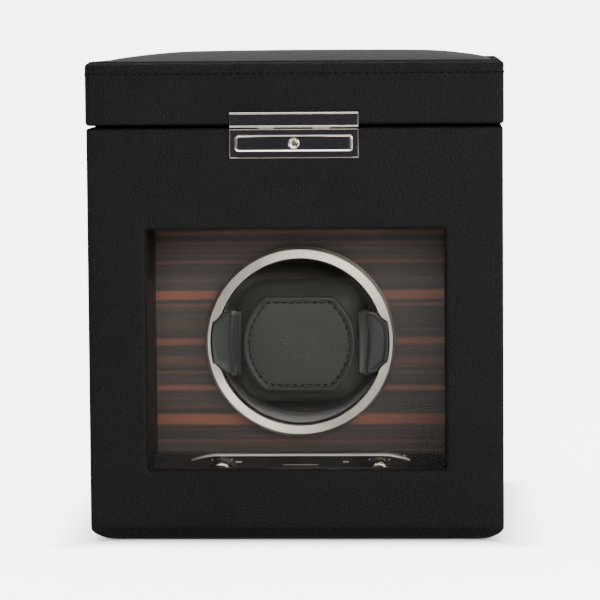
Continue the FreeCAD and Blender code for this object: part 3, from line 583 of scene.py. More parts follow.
# painted light: the cup's grey suede is made twice as light as its own tone, to fill the shade that the
# ring casts into the cup
LIT_CUP_LINING = suede("lit_cup_lining", (0.150, 0.147, 0.128), (0.235, 0.228, 0.200))
THREAD = moulded("thread", (0.0012, 0.0012, 0.0012), (0.003, 0.003, 0.003), rough=(0.75, 0.9), grain=5200,
                 shine=0.1)
CHROME = polished("chrome", (0.90, 0.81, 0.73))
SATIN = polished("satin_chrome", (0.88, 0.81, 0.74), rough=(0.26, 0.36))
DARK_MIRROR = polished("clasp_face", (0.56, 0.56, 0.64), rough=(0.03, 0.06))
RING_METAL = brushed_ring("ring_metal", (0.84, 0.77, 0.70))
STEEL = polished("steel", (0.52, 0.52, 0.51), rough=(0.24, 0.38), scratch=(60, 60, 3200))
BRASS = polished("pinion_brass", (0.72, 0.55, 0.26), rough=(0.2, 0.32))
BLACK_PLASTIC = moulded("black_plastic", (0.010, 0.010, 0.010), (0.018, 0.018, 0.018))
CUFF_PLASTIC = moulded("cuff_plastic", (0.009, 0.0102, 0.009), (0.015, 0.0165, 0.0145),
                       rough=(0.34, 0.46), shine=0.4)
CONSOLE_BLACK = moulded("console_black", (0.014, 0.013, 0.013), (0.021, 0.019, 0.018), rough=(0.16, 0.28))
WHITE_GEAR = moulded("gear_nylon", (0.55, 0.54, 0.50), (0.66, 0.65, 0.61), rough=(0.4, 0.5))
MARKS = moulded("printed_marks", (0.35, 0.33, 0.32), (0.50, 0.47, 0.46), rough=(0.4, 0.6))
# near-black board as painted shade in the seams
SHADE_BLACK_BOARD = shade_black_fibreboard("shade_black_fibreboard")
GLASS = clear_glass("window_glass")
CIRCUIT = circuit_board("circuit_board")


# ---------------- stitches ----------------

def stitch_row(name, points, normals, material, length, width=0.38 * MM, height=0.30 * MM):
    """A thread lying along a seam as separate short stitches; points are their middles."""
    bm = bmesh.new()
    count = len(points)
    for index, (point, normal) in enumerate(zip(points, normals)):
        ahead = points[(index + 1) % count] - points[index - 1]
        if index == 0 and (points[0] - points[-1]).length > 3 * length:
            ahead = points[1] - points[0]
        if index == count - 1 and (points[0] - points[-1]).length > 3 * length:
            ahead = points[-1] - points[-2]
        along = ahead.normalized()
        out = (normal - along * normal.dot(along)).normalized()
        across = along.cross(out)
        turn = Matrix((along, across, out)).transposed().to_4x4()
        size = Matrix.Diagonal((length / 2, width, height, 1))
        made = bmesh.ops.create_icosphere(bm, subdivisions=2, radius=1.0)
        bmesh.ops.transform(bm, matrix=Matrix.Translation(point) @ turn @ size, verts=made["verts"])
    mesh = bpy.data.meshes.new(name)
    bm.to_mesh(mesh)
    bm.free()
    mesh.materials.append(material)
    for polygon in mesh.polygons:
        polygon.use_smooth = True
    obj = bpy.data.objects.new(name, mesh)
    bpy.context.scene.collection.objects.link(obj)
    return obj


def spaced(path, pitch, closed):
    """Points at equal steps along a polyline."""
    ends = path + [path[0]] if closed else path
    lengths = [(b - a).length for a, b in zip(ends, ends[1:])]
    total = sum(lengths)
    steps = max(2, round(total / pitch))
    lead = 0 if closed else 0.5
    wanted = [total * (k + lead) / steps for k in range(steps)]
    found = []
    index = 0
    before = 0.0
    for target in wanted:
        while index < len(lengths) - 1 and before + lengths[index] < target:
            before += lengths[index]
            index += 1
        t = (target - before) / max(lengths[index], 1e-9)
        found.append(ends[index].lerp(ends[index + 1], t))
    return found


# ---------------- door ----------------

def door_outline(y, inset=0.0, edge_round=1.9 * MM):
    """Outline of the door across its thickness: half-round bottom, softened upright edges."""
    radius = abs(DOOR_AXIS.y - FACE_Y)
    across = min(1.0, abs(y - DOOR_AXIS.y) / radius)
    bottom = DOOR_AXIS.z - radius * math.sqrt(1 - across * across) + inset
    depth = max(0.0, FACE_Y + edge_round - y)
    soften = edge_round - math.sqrt(max(0.0, edge_round ** 2 - depth ** 2))
    half = HALF_X - soften - inset
    low = DOOR_LOW[2] + soften * 0.5 + inset
    top = DOOR_HIGH[2] - soften - inset
    corner_x = 9.0 * MM
    corner_z = 6.2 * MM
    radii = (corner_x, corner_x, 1.4 * MM, 1.4 * MM)
    outline = rounded_rect(-half, half, low, top, radii, per_side=26, per_corner=8)
    shaped = []
    for x, z in outline:
        height = z - low
        if height < corner_x:
            height *= corner_z / corner_x
            along = half - abs(x)
            if along < corner_x:
                chord = corner_z * (1 - along / corner_x)
                height += (chord - height) * 0.5
        shaped.append(Vector((x, y, max(low + height, bottom))))
    return shaped


def window_outline(y, outward):
    x0, x1, z0, z1 = WINDOW
    radius = 1.2 * MM + outward
    outline = rounded_rect(x0 - outward, x1 + outward, z0 - outward, z1 + outward, (radius,) * 4,
                           per_side=26, per_corner=8)
    return upright(outline, y)


def door_leather():
    back = DOOR_HIGH[1] - 0.05 * MM
    radius = abs(DOOR_AXIS.y - FACE_Y)
    loops = []
    for k in range(4):
        loops.append(door_outline(back + (DOOR_AXIS.y - back) * k / 4))
    for angle in quarter(12):
        loops.append(door_outline(DOOR_AXIS.y - radius * math.sin(angle)))
    outer = loops[-1]
    roll = 2.3 * MM
    edge = window_outline(FACE_Y, roll)
    for k in range(1, 9):
        t = k / 9
        loops.append([a.lerp(b, t) for a, b in zip(outer, edge)])
    for angle in quarter(7):
        loops.append(window_outline(FACE_Y + roll * (1 - math.cos(angle)), roll * (1 - math.sin(angle))))
    reveal = GLASS_LOW[1] - 0.1 * MM
    loops.append(window_outline(reveal, 0))
    inner = 1.4 * MM
    inside = rounded_rect(-HALF_X + inner, HALF_X - inner, DOOR_AXIS.z + inner, DOOR_HIGH[2] - inner,
                          (2 * MM, 2 * MM, 1 * MM, 1 * MM), per_side=26, per_corner=8)
    loops += [upright(inside, reveal), upright(inside, back)]
    obj = lofted("door_leather", loops, [CASE_LEATHER], ring=True)
    cutters = []
    clear = 4.4 * MM
    for side in (-1, 1):
        x = side * DOOR_HINGE_X
        half = 5.2 * MM
        cutters.append(tube_mesh("cut", (x - half, DOOR_AXIS.y, DOOR_AXIS.z), (1, 0, 0), clear, 2 * half))
        cutters.append(box_mesh("cut", (x - half, DOOR_AXIS.y, -0.001),
                                (x + half, DOOR_AXIS.y + 0.01, DOOR_AXIS.z + clear)))
        cutters.append(box_mesh("cut", (x - half, DOOR_AXIS.y - clear, -0.001),
                                (x + half, DOOR_AXIS.y, DOOR_AXIS.z)))
        notch = 4.6 * MM
        x = side * TONGUE_X
        cutters.append(box_mesh("cut", (x - notch, FACE_Y - 0.001, HASP_LOW[2] - 0.8 * MM),
                                (x + notch, FACE_Y + 0.02, DOOR_HIGH[2] + 0.001)))
    cutters.append(box_mesh("cut", (BAR_LOW[0] - 1.0 * MM, FACE_Y - 0.001, BAR_LOW[2] - 1.0 * MM),
                            (BAR_HIGH[0] + 1.0 * MM, FACE_Y + 0.01, BAR_HIGH[2] + 0.5 * MM)))
    carve(obj, cutters)
    sharp_by_angle(obj, 50)
    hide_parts("door_leather_cover")
    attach(obj, "door")

    seam_z = DOOR_LOW[2] + 5.6 * MM
    drop = DOOR_AXIS.z - seam_z
    seam_y = DOOR_AXIS.y - math.sqrt(radius ** 2 - drop ** 2) - 0.05 * MM
    reach = HALF_X - 7.5 * MM
    path = [Vector((-reach, seam_y, seam_z)), Vector((reach, seam_y, seam_z))]
    points = spaced(path, STITCH_PITCH, False)
    row = stitch_row("door_stitches", points, [Vector((0, -1, -0.5))] * len(points), THREAD, STITCH_LENGTH)
    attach(row, "door")


# ---------------- case ----------------

def plan_outline(z, inset, corner_front=0.9 * MM, corner_back=3 * MM):
    """Outline of the case at a height: the long bottom edges are rounded."""
    depth = max(0.0, WRAP_LOW[2] + CASE_ROUND - z)
    pull = CASE_ROUND - math.sqrt(max(0.0, CASE_ROUND ** 2 - depth ** 2))
    half = HALF_X - pull - inset
    front = WRAP_LOW[1] - 0.06 * MM + min(inset, 0.6 * MM)
    outline = rounded_rect(-half, half, front, WRAP_HIGH[1] - inset,
                           (corner_front, corner_front, corner_back,
                            corner_back), per_side=14, per_corner=6)
    return level(outline, z)


def storage_outline(z, grow):
    half = HALF_X - 10.2 * MM + grow
    outline = rounded_rect(-half, half, WRAP_LOW[1] + 9.2 * MM - grow, WRAP_HIGH[1] - 10.2 * MM + grow,
                           (1.5 * MM + grow,) * 4, per_side=14, per_corner=6)
    return level(outline, z)


def knuckle_cutters():
    low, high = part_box("lid_hinge_pins")
    cutters = []
    reach = 32 * MM
    for x in (low[0] - 0.6 * MM, high[0] - reach + 0.6 * MM):
        cutters.append(tube_mesh("cut", (x, LID_AXIS.y, LID_AXIS.z), (1, 0, 0), 2.35 * MM, reach))
    return cutters


def case_leather():
    low = WRAP_LOW[2]
    top = WRAP_HIGH[2]
    roll = 1.7 * MM
    loops = []
    for angle in quarter(8):
        loops.append(plan_outline(low + CASE_ROUND * (1 - math.cos(angle)), 0))
    for k in range(1, 7):
        loops.append(plan_outline(low + CASE_ROUND + (top - roll - low - CASE_ROUND) * k / 7, 0))
    for angle in quarter(5):
        loops.append(plan_outline(top - roll + roll * math.sin(angle), roll * (1 - math.cos(angle))))
    inner = 1.0 * MM
    outer_count = len(loops)
    for angle in quarter(4):
        loops.append(storage_outline(top - inner + inner * math.cos(angle), inner * (1 - math.sin(angle))))
    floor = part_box("storage_floor_liner")[1][2] + 0.05 * MM
    loops.append(storage_outline(floor + 0.8 * MM, 0))
    loops.append(storage_outline(floor, -0.8 * MM))
    lining_from = (outer_count + 3) * len(loops[0])
    obj = lofted("case_leather", loops, [CASE_LEATHER, LINING],
                 face_material=lambda p: 1 if min(p.vertices) >= lining_from else 0)
    floor_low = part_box("bay_floor_liner")
    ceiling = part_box("bay_ceiling_liner")
    side = BAY_X + 0.4 * MM
    cutters = [box_mesh("cut", (-side, WRAP_LOW[1] - 0.01, floor_low[1][2] - 0.4 * MM),
                        (side, WRAP_HIGH[1] - 10.5 * MM, ceiling[0][2] + 0.4 * MM))]
    pocket_low, pocket_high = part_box("power_jack")
    middle = ((pocket_low[0] + pocket_high[0]) / 2, 0.08, (pocket_low[2] + pocket_high[2]) / 2)
    cutters.append(tube_mesh("cut", middle, (0, 1, 0), 5.6 * MM, 0.04))
    cutters += knuckle_cutters()
    carve(obj, cutters)
    sharp_by_angle(obj, 50)
    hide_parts("body_leather_wrap")
    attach(obj, "case")


# ---------------- lid ----------------

def lid_outline(z, inset, corner=2.6 * MM):
    half = LID_HIGH[0] - inset
    outline = rounded_rect(-half, half, LID_LOW[1] + inset, LID_HIGH[1] - inset,
                           (max(corner - inset * 0.5, 0.6 * MM),) * 4, per_side=22, per_corner=6)
    return level(outline, z)


def lid_leather():
    low = LID_LOW[2]
    wall = 11.2 * MM
    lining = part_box("lid_lining")[0][2] - 0.1 * MM
    loops = [lid_outline(low + 0.5 * MM, wall), lid_outline(low, wall - 0.6 * MM)]
    roll = 2.0 * MM
    for angle in quarter(6):
        loops.append(lid_outline(low + roll * (1 - math.cos(angle)), roll * (1 - math.sin(angle))))
    for k in range(1, 6):
        loops.append(lid_outline(low + roll + (LID_SEAM - 1.4 * MM - low - roll) * k / 6, 0))
    edge = 2.2 * MM
    for angle in quarter(5):
        loops.append(lid_outline(LID_SEAM - edge + edge * math.sin(angle), edge * (1 - math.cos(angle))))
    outer_count = len(loops)
    loops.append(lid_outline(LID_SEAM - 0.5 * MM, 3.0 * MM))
    loops.append(lid_outline(LID_SEAM - 2.5 * MM, 4.4 * MM))
    loops.append(lid_outline(LID_SEAM - 3.0 * MM, wall))
    loops.append(lid_outline(lining - 0.5 * MM, wall))
    lining_from = (outer_count + 2) * len(loops[0])
    obj = lofted("lid_leather", loops, [CASE_LEATHER, LINING], ring=True,
                 face_material=lambda p: 1 if p.index >= lining_from else 0)
    carve(obj, knuckle_cutters())
    sharp_by_angle(obj, 50)
    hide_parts("lid_leather_cover")
    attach(obj, "lid")

    welt_loops = []
    thick = 0.5 * MM
    for k in range(10):
        angle = 2 * math.pi * k / 10
        welt_loops.append(lid_outline(LID_SEAM + 0.05 * MM + thick * math.sin(angle),
                                      2.3 * MM - thick * math.cos(angle)))
    welt = lofted("lid_welt", welt_loops, [CASE_LEATHER], ring=True)
    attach(welt, "lid")

    seam = LID_SEAM - 5.7 * MM
    path = lid_outline(seam, -0.12 * MM)
    points = spaced(path, STITCH_PITCH, True)
    middle = Vector((0, 0, seam))
    normals = []
    for point in points:
        across = point - middle
        side = abs(across.x) > LID_HIGH[0] - 0.5 * MM
        normals.append(Vector((math.copysign(1, across.x), 0, 0)) if side
                       else Vector((0, math.copysign(1, across.y), 0)))
    row = stitch_row("lid_stitches", points, normals, THREAD, STITCH_LENGTH)
    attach(row, "lid")


def lid_top_pad():
    """Padded leather top: a flat cut, blown up by pressure over its edges, then evened."""
    margin = 2.1 * MM
    base = LID_SEAM - 0.9 * MM
    rows = 34
    cols = 34
    half_x = LID_HIGH[0] - margin
    half_y = LID_HIGH[1] - margin
    rise = LID_HIGH[2] - LID_SEAM

    def spread(t):
        """Finer steps near both edges."""
        return math.sin(math.pi / 2 * (2 * t - 1)) * 0.35 + (2 * t - 1) * 0.65

    def crown(u, v):
        """Height share of the padding, zero on the edge."""
        side = (1 - abs(u) ** 7) * (1 - abs(v) ** 7)
        return max(0.0, side) ** 0.55 * (0.80 + 0.20 * (1 - u * u) * (1 - v * v))

    verts = []
    for j in range(rows + 1):
        for i in range(cols + 1):
            u = spread(i / cols)
            v = spread(j / rows)
            corner = 1.0 - 0.004 * (abs(u) ** 8) * (abs(v) ** 8)
            verts.append((half_x * u * corner, half_y * v * corner, base + 0.95 * rise * crown(u, v)))
    faces = []
    for j in range(rows):
        for i in range(cols):
            a = j * (cols + 1) + i
            faces.append((a, a + 1, a + cols + 2, a + cols + 1))
    rim = ([j * (cols + 1) for j in range(rows, -1, -1)] + list(range(1, cols + 1))
           + [j * (cols + 1) + cols for j in range(1, rows + 1)]
           + [rows * (cols + 1) + i for i in range(cols - 1, 0, -1)])
    start = len(verts)
    for index in rim:
        x, y = verts[index][:2]
        verts.append((x * 0.995, y * 0.995, base - 2.2 * MM))
    for k in range(len(rim)):
        m = (k + 1) % len(rim)
        faces.append((rim[k], rim[m], start + m, start + k))
    faces.append(tuple(range(start, start + len(rim))))
    obj = make_object("lid_top_pad", verts, faces, [LIT_LID_TOP_LEATHER])
    fix_normals(obj)
    inflate(obj, held=lambda p: p.z < base + 0.3 * MM, pressure=2.2, cap=1.1 * MM, frames=16)
    for vertex in obj.data.vertices:
        vertex.co.z = min(vertex.co.z, LID_HIGH[2])
    smooth_surface(obj)
    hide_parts("lid_foam_pad")
    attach(obj, "lid")


def smooth_surface(obj):
    sub = obj.modifiers.new("smooth", "SUBSURF")
    sub.levels = 1
    sub.render_levels = 1
    freeze(obj)
    for polygon in obj.data.polygons:
        polygon.use_smooth = True


def inflate(obj, held, pressure, cap, frames=20):
    """Cloth simulation under inner pressure; no point moves further than the cap."""
    start = [vertex.co.copy() for vertex in obj.data.vertices]
    group = obj.vertex_groups.new(name="held")
    pinned = [v.index for v in obj.data.vertices if held(v.co)]
    if pinned:
        group.add(pinned, 1.0, "REPLACE")
    cloth = obj.modifiers.new("cloth", "CLOTH")
    cloth.settings.quality = 6
    cloth.settings.mass = 0.3
    cloth.settings.use_pressure = True
    cloth.settings.uniform_pressure_force = pressure
    cloth.settings.effector_weights.gravity = 0
    cloth.settings.tension_stiffness = 12
    cloth.settings.compression_stiffness = 12
    cloth.settings.bending_stiffness = 2.0
    if pinned:
        cloth.settings.vertex_group_mass = "held"
    cloth.collision_settings.use_collision = False
    cloth.point_cache.frame_start = 1
    cloth.point_cache.frame_end = frames
    scene = bpy.context.scene
    for step in range(1, frames + 1):
        scene.frame_set(step)
    freeze(obj)
    scene.frame_set(1)
    for vertex, before in zip(obj.data.vertices, start):
        moved = vertex.co - before
        if moved.length > cap:
            vertex.co = before + moved.normalized() * cap
    bm = bmesh.new()
    bm.from_mesh(obj.data)
    for _ in range(3):
        bmesh.ops.smooth_vert(bm, verts=bm.verts, factor=0.35, use_axis_x=True, use_axis_y=True,
                              use_axis_z=True)
    bm.to_mesh(obj.data)
    bm.free()


# ---------------- clasp ----------------

def plate(name, low, high, edge, material, segments=3):
    obj = box_mesh(name, low, high, material)
    add_bevel(obj, edge, segments)
    freeze(obj)
    return sharp_by_angle(obj, 12)


def clasp():
    hasp_front = plate("hasp", (HASP_LOW[0], HASP_LOW[1], HASP_LOW[2] + 3.6 * MM),
                       (HASP_HIGH[0], FACE_Y - 0.01 * MM, HASP_HIGH[2]), 0.55 * MM, DARK_MIRROR)
    rail = 0.85 * MM
    pieces = [hasp_front]
    for z in (HASP_HIGH[2] - rail, HASP_LOW[2] + 3.6 * MM):
        pieces.append(plate("hasp_line", (HASP_LOW[0], HASP_LOW[1] - 0.35 * MM, z),
                            (HASP_HIGH[0], HASP_LOW[1] + 0.4 * MM, z + rail), 0.3 * MM, CHROME))
    for side in (-1, 1):
        x = side * TONGUE_X
        pieces.append(plate("tongue", (x - 4 * MM, FACE_Y + 0.5 * MM, HASP_LOW[2]),
                            (x + 4 * MM, FACE_Y + 1.9 * MM, LID_LOW[2] + 0.4 * MM), 0.3 * MM, CHROME))
        pieces.append(plate("knuckle", (x - 4.1 * MM, HASP_LOW[1] + 0.1 * MM, HASP_LOW[2] + 3.1 * MM),
                            (x + 4.1 * MM, FACE_Y + 1.0 * MM, HASP_LOW[2] + 3.9 * MM), 0.2 * MM, CHROME))
    hasp = joined("hasp", pieces)
    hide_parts("hasp_plate")
    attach(hasp, "lid")

    face = LOCK_LOW[1] + 1.0 * MM
    lock = box_mesh("lock", (LOCK_LOW[0], face, LOCK_LOW[2]),
                    (LOCK_HIGH[0], FACE_Y - 0.01 * MM, LOCK_HIGH[2]),
                    DARK_MIRROR)
    gap = 0.2 * MM
    hole = ((BAR_LOW[0] - gap, FACE_Y - 0.01, BAR_LOW[2] - gap),
            (BAR_HIGH[0] + gap, FACE_Y + 0.01, BAR_HIGH[2] + gap))
    carve(lock, [box_mesh("cut", *hole)])
    add_bevel(lock, 0.32 * MM, 3)
    freeze(lock)
    lock.data.materials.append(CHROME)
    edge_rise = face - 0.12 * MM
    strips = []
    rim = 0.38 * MM
    for z in (LOCK_LOW[2], LOCK_HIGH[2] - rim):
        strips.append(plate("rim", (LOCK_LOW[0], edge_rise, z), (LOCK_HIGH[0], face + 0.2 * MM, z + rim),
                            0.12 * MM, CHROME))
    for x in (LOCK_LOW[0], LOCK_HIGH[0] - rim):
        strips.append(plate("rim", (x, edge_rise, LOCK_LOW[2]), (x + rim, face + 0.2 * MM, LOCK_HIGH[2]),
                            0.12 * MM, CHROME))
    surround = lock_surround(face)
    whole = joined("lock", [lock] + strips + [surround])
    sharp_by_angle(whole, 14)
    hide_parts("lock_plate")
    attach(whole, "door")

    bar = box_mesh("push_bar_face", BAR_LOW, BAR_HIGH, DARK_MIRROR)
    bore = tube_mesh("cut", (0, BAR_LOW[1] - 0.01, BAR_MIDDLE), (0, 1, 0), 2.8 * MM, 0.05)
    carve(bar, [bore])
    add_bevel(bar, 0.45 * MM, 3, angle=50)
    freeze(bar)
    sharp_by_angle(bar, 12)
    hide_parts("push_bar")
    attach(bar, "push_bar")

    front = KEY_LOW[1]
    r = (KEY_HIGH[0] - KEY_LOW[0]) / 2
    profile = [(0, front + 0.5 * MM), (r * 0.45, front + 0.5 * MM), (r * 0.5, front + 0.15 * MM),
               (r * 0.62, front), (r * 0.8, front), (r, front + 0.35 * MM), (r, KEY_HIGH[1]), (0,
                                                                                               KEY_HIGH[1])]
    key = lathe_solid("key_plug", profile, (0, 0, BAR_MIDDLE), CHROME, segments=64)
    slot = [box_mesh("cut", (-0.4 * MM, front - 0.01, BAR_MIDDLE - 1.7 * MM),
                     (0.4 * MM, front + 3 * MM, BAR_MIDDLE + 1.7 * MM))]
    for k in range(4):
        place = around((0, 0, BAR_MIDDLE), r * 0.86, math.pi / 4 + math.pi / 2 * k, front - 0.001)
        slot.append(tube_mesh("cut", place, (0, 1, 0), 0.36 * MM, 1.5 * MM, 20))
    carve(key, slot)
    sharp_by_angle(key, 30)
    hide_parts("key_cylinder")
    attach(key, "key_cylinder")


def lock_surround(face):
    """Raised frame with rounded corners about the push bar."""
    outer_x = 29.05 * MM
    outer_z = 4.1 * MM
    gap = 0.2 * MM
    inner_x = BAR_HIGH[0] + gap
    inner_z = (BAR_HIGH[2] - BAR_LOW[2]) / 2 + gap
    profile = [(0, face + 0.3 * MM), (0, face - 0.55 * MM), (0.16, face - 0.85 * MM),
               (0.36, face - 1.0 * MM),
               (0.62, face - 0.95 * MM), (0.86, face - 0.7 * MM), (1.0, face - 0.3 * MM), (1.0,
                                                                                           face + 0.3 * MM)]
    loops = []
    for t, y in profile:
        half_x = outer_x * (1 - t) + inner_x * t
        half_z = outer_z * (1 - t) + inner_z * t
        radius = 1.9 * MM * (1 - t) + 0.35 * MM * t
        outline = rounded_rect(-half_x, half_x, BAR_MIDDLE - half_z, BAR_MIDDLE + half_z, (radius,) * 4,
                               per_side=10, per_corner=8)
        loops.append(upright(outline, y))
    return lofted("surround", loops, [CHROME], ring=True)


# ---------------- drum and cuff ----------------

def drum_ring():
    front = RING_LOW[1]
    back = RING_HIGH[1]
    cup_outer = RING_OUTER - 2.65 * MM
    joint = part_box("drum_cup")[0][1] - 0.05 * MM
    inner = RING_INNER
    profile = [(inner, joint), (inner, front + 1.1 * MM), (inner + 0.25 * MM, front + 0.55 * MM),
               (inner + 0.75 * MM, front + 0.12 * MM), (inner + 0.95 * MM, front + 0.10 * MM),
               (inner + 1.05 * MM, front), (RING_OUTER - 1.3 * MM, front),
               (RING_OUTER - 1.0 * MM, front + 0.15 * MM), (RING_OUTER - 0.25 * MM, front + 1.3 * MM),
               (RING_OUTER, front + 1.9 * MM), (RING_OUTER, back), (cup_outer, back), (cup_outer, joint)]
    obj = revolve("bezel_ring", profile, DRUM_AXIS, RING_METAL, segments=224, smooth_angle=12)
    obj.data.materials.append(CHROME)
    lip = inner + 1.0 * MM
    for polygon in obj.data.polygons:
        middle = Vector((polygon.center.x, 0, polygon.center.z - DRUM_AXIS.z))
        if middle.length < lip:
            polygon.material_index = 1
    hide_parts("drum_ring")
    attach(obj, "drum")


def cuff_pad():
    """The roll that a watch is strapped round: voxel skin of a slightly small block, then inflated."""
    start = 1.0 * MM
    low = [PAD_LOW[0] + 0.5 * MM, PAD_LOW[1] + start, PAD_LOW[2] + start]
    high = [PAD_HIGH[0] - 0.5 * MM, PAD_HIGH[1] - start, PAD_HIGH[2] - start]
    obj = box_mesh("cuff_roll", low, high, CUFF_LEATHER)
    bevel = add_bevel(obj, 14 * MM, 8).modifiers[-1]
    bevel.limit_method = "NONE"
    remesh = obj.modifiers.new("skin", "REMESH")
    remesh.mode = "VOXEL"
    remesh.voxel_size = 2.6 * MM
    remesh.use_smooth_shade = True
    freeze(obj)
    obj.data.materials.clear()
    obj.data.materials.append(CUFF_LEATHER)
    edge = PAD_HIGH[0] - 2.5 * MM
    inflate(obj, held=lambda p: abs(p.x) > edge, pressure=4.0, cap=1.3 * MM, frames=20)
    for vertex in obj.data.vertices:
        vertex.co.x = max(PAD_LOW[0], min(PAD_HIGH[0], vertex.co.x))
        vertex.co.y = max(PAD_LOW[1] + 0.05 * MM, vertex.co.y)
    smooth_surface(obj)
    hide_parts("cuff_pad")
    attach(obj, "cuff")


def barrel_outline(inset, count=44):
    """Outline of the patch: flat top and bottom, bowed sides, softened corners."""
    stand = 0.5 * MM
    half_x = PATCH_HIGH[0] + stand - inset
    half_z = (PATCH_HIGH[2] - PATCH_LOW[2]) / 2 + stand - inset
    flat = 17.0 * MM - inset * 0.45
    bulge = half_x - flat
    radius = (half_z ** 2 + bulge ** 2) / (2 * bulge)
    sweep = math.asin(half_z / radius)
    middle = (PATCH_LOW[2] + PATCH_HIGH[2]) / 2
    points = []
    for k in range(count):
        angle = sweep - 2 * sweep * k / count
        points.append((half_x - radius + radius * math.cos(angle), middle + radius * math.sin(angle)))
    for k in range(count // 2):
        points.append((flat - 2 * flat * k / (count // 2), middle - half_z))
    return points + [(-x, 2 * middle - z) for x, z in points]


def cuff_patch():
    back = PATCH_HIGH[1] + 1.2 * MM
    front = PATCH_LOW[1]
    steps = [(0.0, back), (0.0, front + 1.2 * MM), (0.25, front + 0.65 * MM), (0.8, front + 0.20 * MM),
             (1.4, front + 0.05 * MM), (2.0, front + 0.22 * MM), (2.5, front + 0.75 * MM),
             (3.0, front + 0.95 * MM), (3.8, front + 0.98 * MM), (4.6, front + 0.80 * MM),
             (6.5, front + 0.66 * MM), (9.0, front + 0.58 * MM), (13.0, front + 0.52 * MM),
             (17.0, front + 0.5 * MM)]
    obj = lofted("cuff_badge", [upright(barrel_outline(inset * MM), y) for inset, y in steps],
                 [PATCH_LEATHER])
    sharp_by_angle(obj, 60)
    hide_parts("cuff_patch")
    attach(obj, "cuff")

    path = upright(barrel_outline(3.4 * MM), front + 0.93 * MM)
    points = spaced(path, 3.8 * MM, True)
    row = stitch_row("badge_stitches", points, [Vector((0, -1, 0))] * len(points), THREAD, 2.5 * MM,
                     width=0.5 * MM, height=0.3 * MM)
    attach(row, "cuff")

    middle = (PATCH_LOW[2] + PATCH_HIGH[2]) / 2
    ticks = []
    for k in range(12):
        angle = 2 * math.pi * k / 12
        long_tick = k % 3 == 0
        inner = (5.6 if long_tick else 6.8) * MM
        outer = 8.6 * MM
        half = 0.42 * MM
        tick = box_mesh("tick", (-half, front + 0.22 * MM, inner), (half, front + 0.9 * MM, outer),
                        CUFF_PLASTIC)
        tick.data.transform(Matrix.Translation((0, 0, middle)) @ Matrix.Rotation(angle, 4, "Y"))
        add_bevel(tick, 0.12 * MM, 2)
        freeze(tick)
        ticks.append(tick)
    emblem = joined("badge_dial", ticks)
    sharp_by_angle(emblem, 40)
    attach(emblem, "cuff")


def wing_outline(inset):
    """Right wing seen from the front: outer edge follows the ring, ends slope in to the pad."""
    reach = ENDS_HIGH[0] - inset
    tip = 10.5 * MM - inset * 0.4
    end = (ENDS_HIGH[2] - ENDS_LOW[2]) / 2 - inset
    root = 29.0 * MM + inset
    shoulder = 37.5 * MM - inset * 0.6
    points = [(root, end)]
    for k in range(6):
        t = k / 6
        points.append((shoulder - 4 * MM + 4 * MM * t, end - 0.6 * MM * t * t))
    sweep = math.asin(tip / reach)
    start_x = reach * math.cos(sweep)
    for k in range(10):
        t = k / 10
        ease = t * t * (3 - 2 * t)
        fall = (tip - end + 0.6 * MM) * (0.35 * t + 0.65 * ease)
        points.append((shoulder + (start_x - shoulder) * t, end - 0.6 * MM + fall))
    for k in range(15):
        angle = sweep - 2 * sweep * k / 14
        points.append((reach * math.cos(angle), reach * math.sin(angle)))
    lower = [(x, -z) for x, z in reversed(points[:17])]
    return points + lower


def cuff_ends():
    wing_back = RING_LOW[1] - 0.42 * MM
    wing_front = RING_LOW[1] - 3.0 * MM
    middle = DRUM_AXIS.z
    steps = [(0.0, wing_back), (0.0, wing_front + 1.0 * MM), (0.3, wing_front + 0.4 * MM),
             (0.9, wing_front), (1.6, wing_front + 0.1 * MM), (2.2, wing_front + 0.55 * MM),
             (3.2, wing_front + 0.75 * MM), (5.0, wing_front + 0.8 * MM)]
    parts = []
    for side in (-1, 1):
        loops = []
        for inset, y in steps:
            loops.append([Vector((side * x, y, middle + z)) for x, z in wing_outline(inset * MM)])
        parts.append(lofted("wing", loops, [CUFF_PLASTIC]))
        x_in = PAD_HIGH[0] + 0.25 * MM
        end = (ENDS_HIGH[2] - ENDS_LOW[2]) / 2
        rib_loops = []
        rib_back = ENDS_HIGH[1]
        for k in range(25):
            t = k / 24
            z = middle - end + 2 * end * t
            bow = 1.9 * MM * (1 - (2 * t - 1) ** 2)
            foot = 0.7 * MM if k in (0, 1, 23, 24) else 0.0
            top = ENDS_LOW[1] + 2.6 * MM - bow * 0.8
            width = 1.1 * MM + foot
            x0 = x_in + bow
            section = [(x0 - foot, rib_back), (x0 - foot, top + 0.4 * MM), (x0 + 0.5 * MM, top),
                       (x0 + width - 0.4 * MM, top), (x0 + width, top + 0.5 * MM), (x0 + width, rib_back)]
            rib_loops.append([Vector((side * x, y, z)) for x, y in section])
        parts.append(lofted("rib", rib_loops, [CUFF_PLASTIC]))
    obj = joined("cuff_wings", parts)
    sharp_by_angle(obj, 42)
    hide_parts("cuff_ends")
    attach(obj, "cuff")


# ---------------- console ----------------

def console_line(t, half, top):
    """Top line of the console: level in the middle, curving down at both ends."""
    x = -half + 2 * half * t
    run = 12.5 * MM
    short = max(0.0, run - (half - abs(x)))
    drop = 3.2 * MM * (short / run) ** 1.7
    return x, top - drop


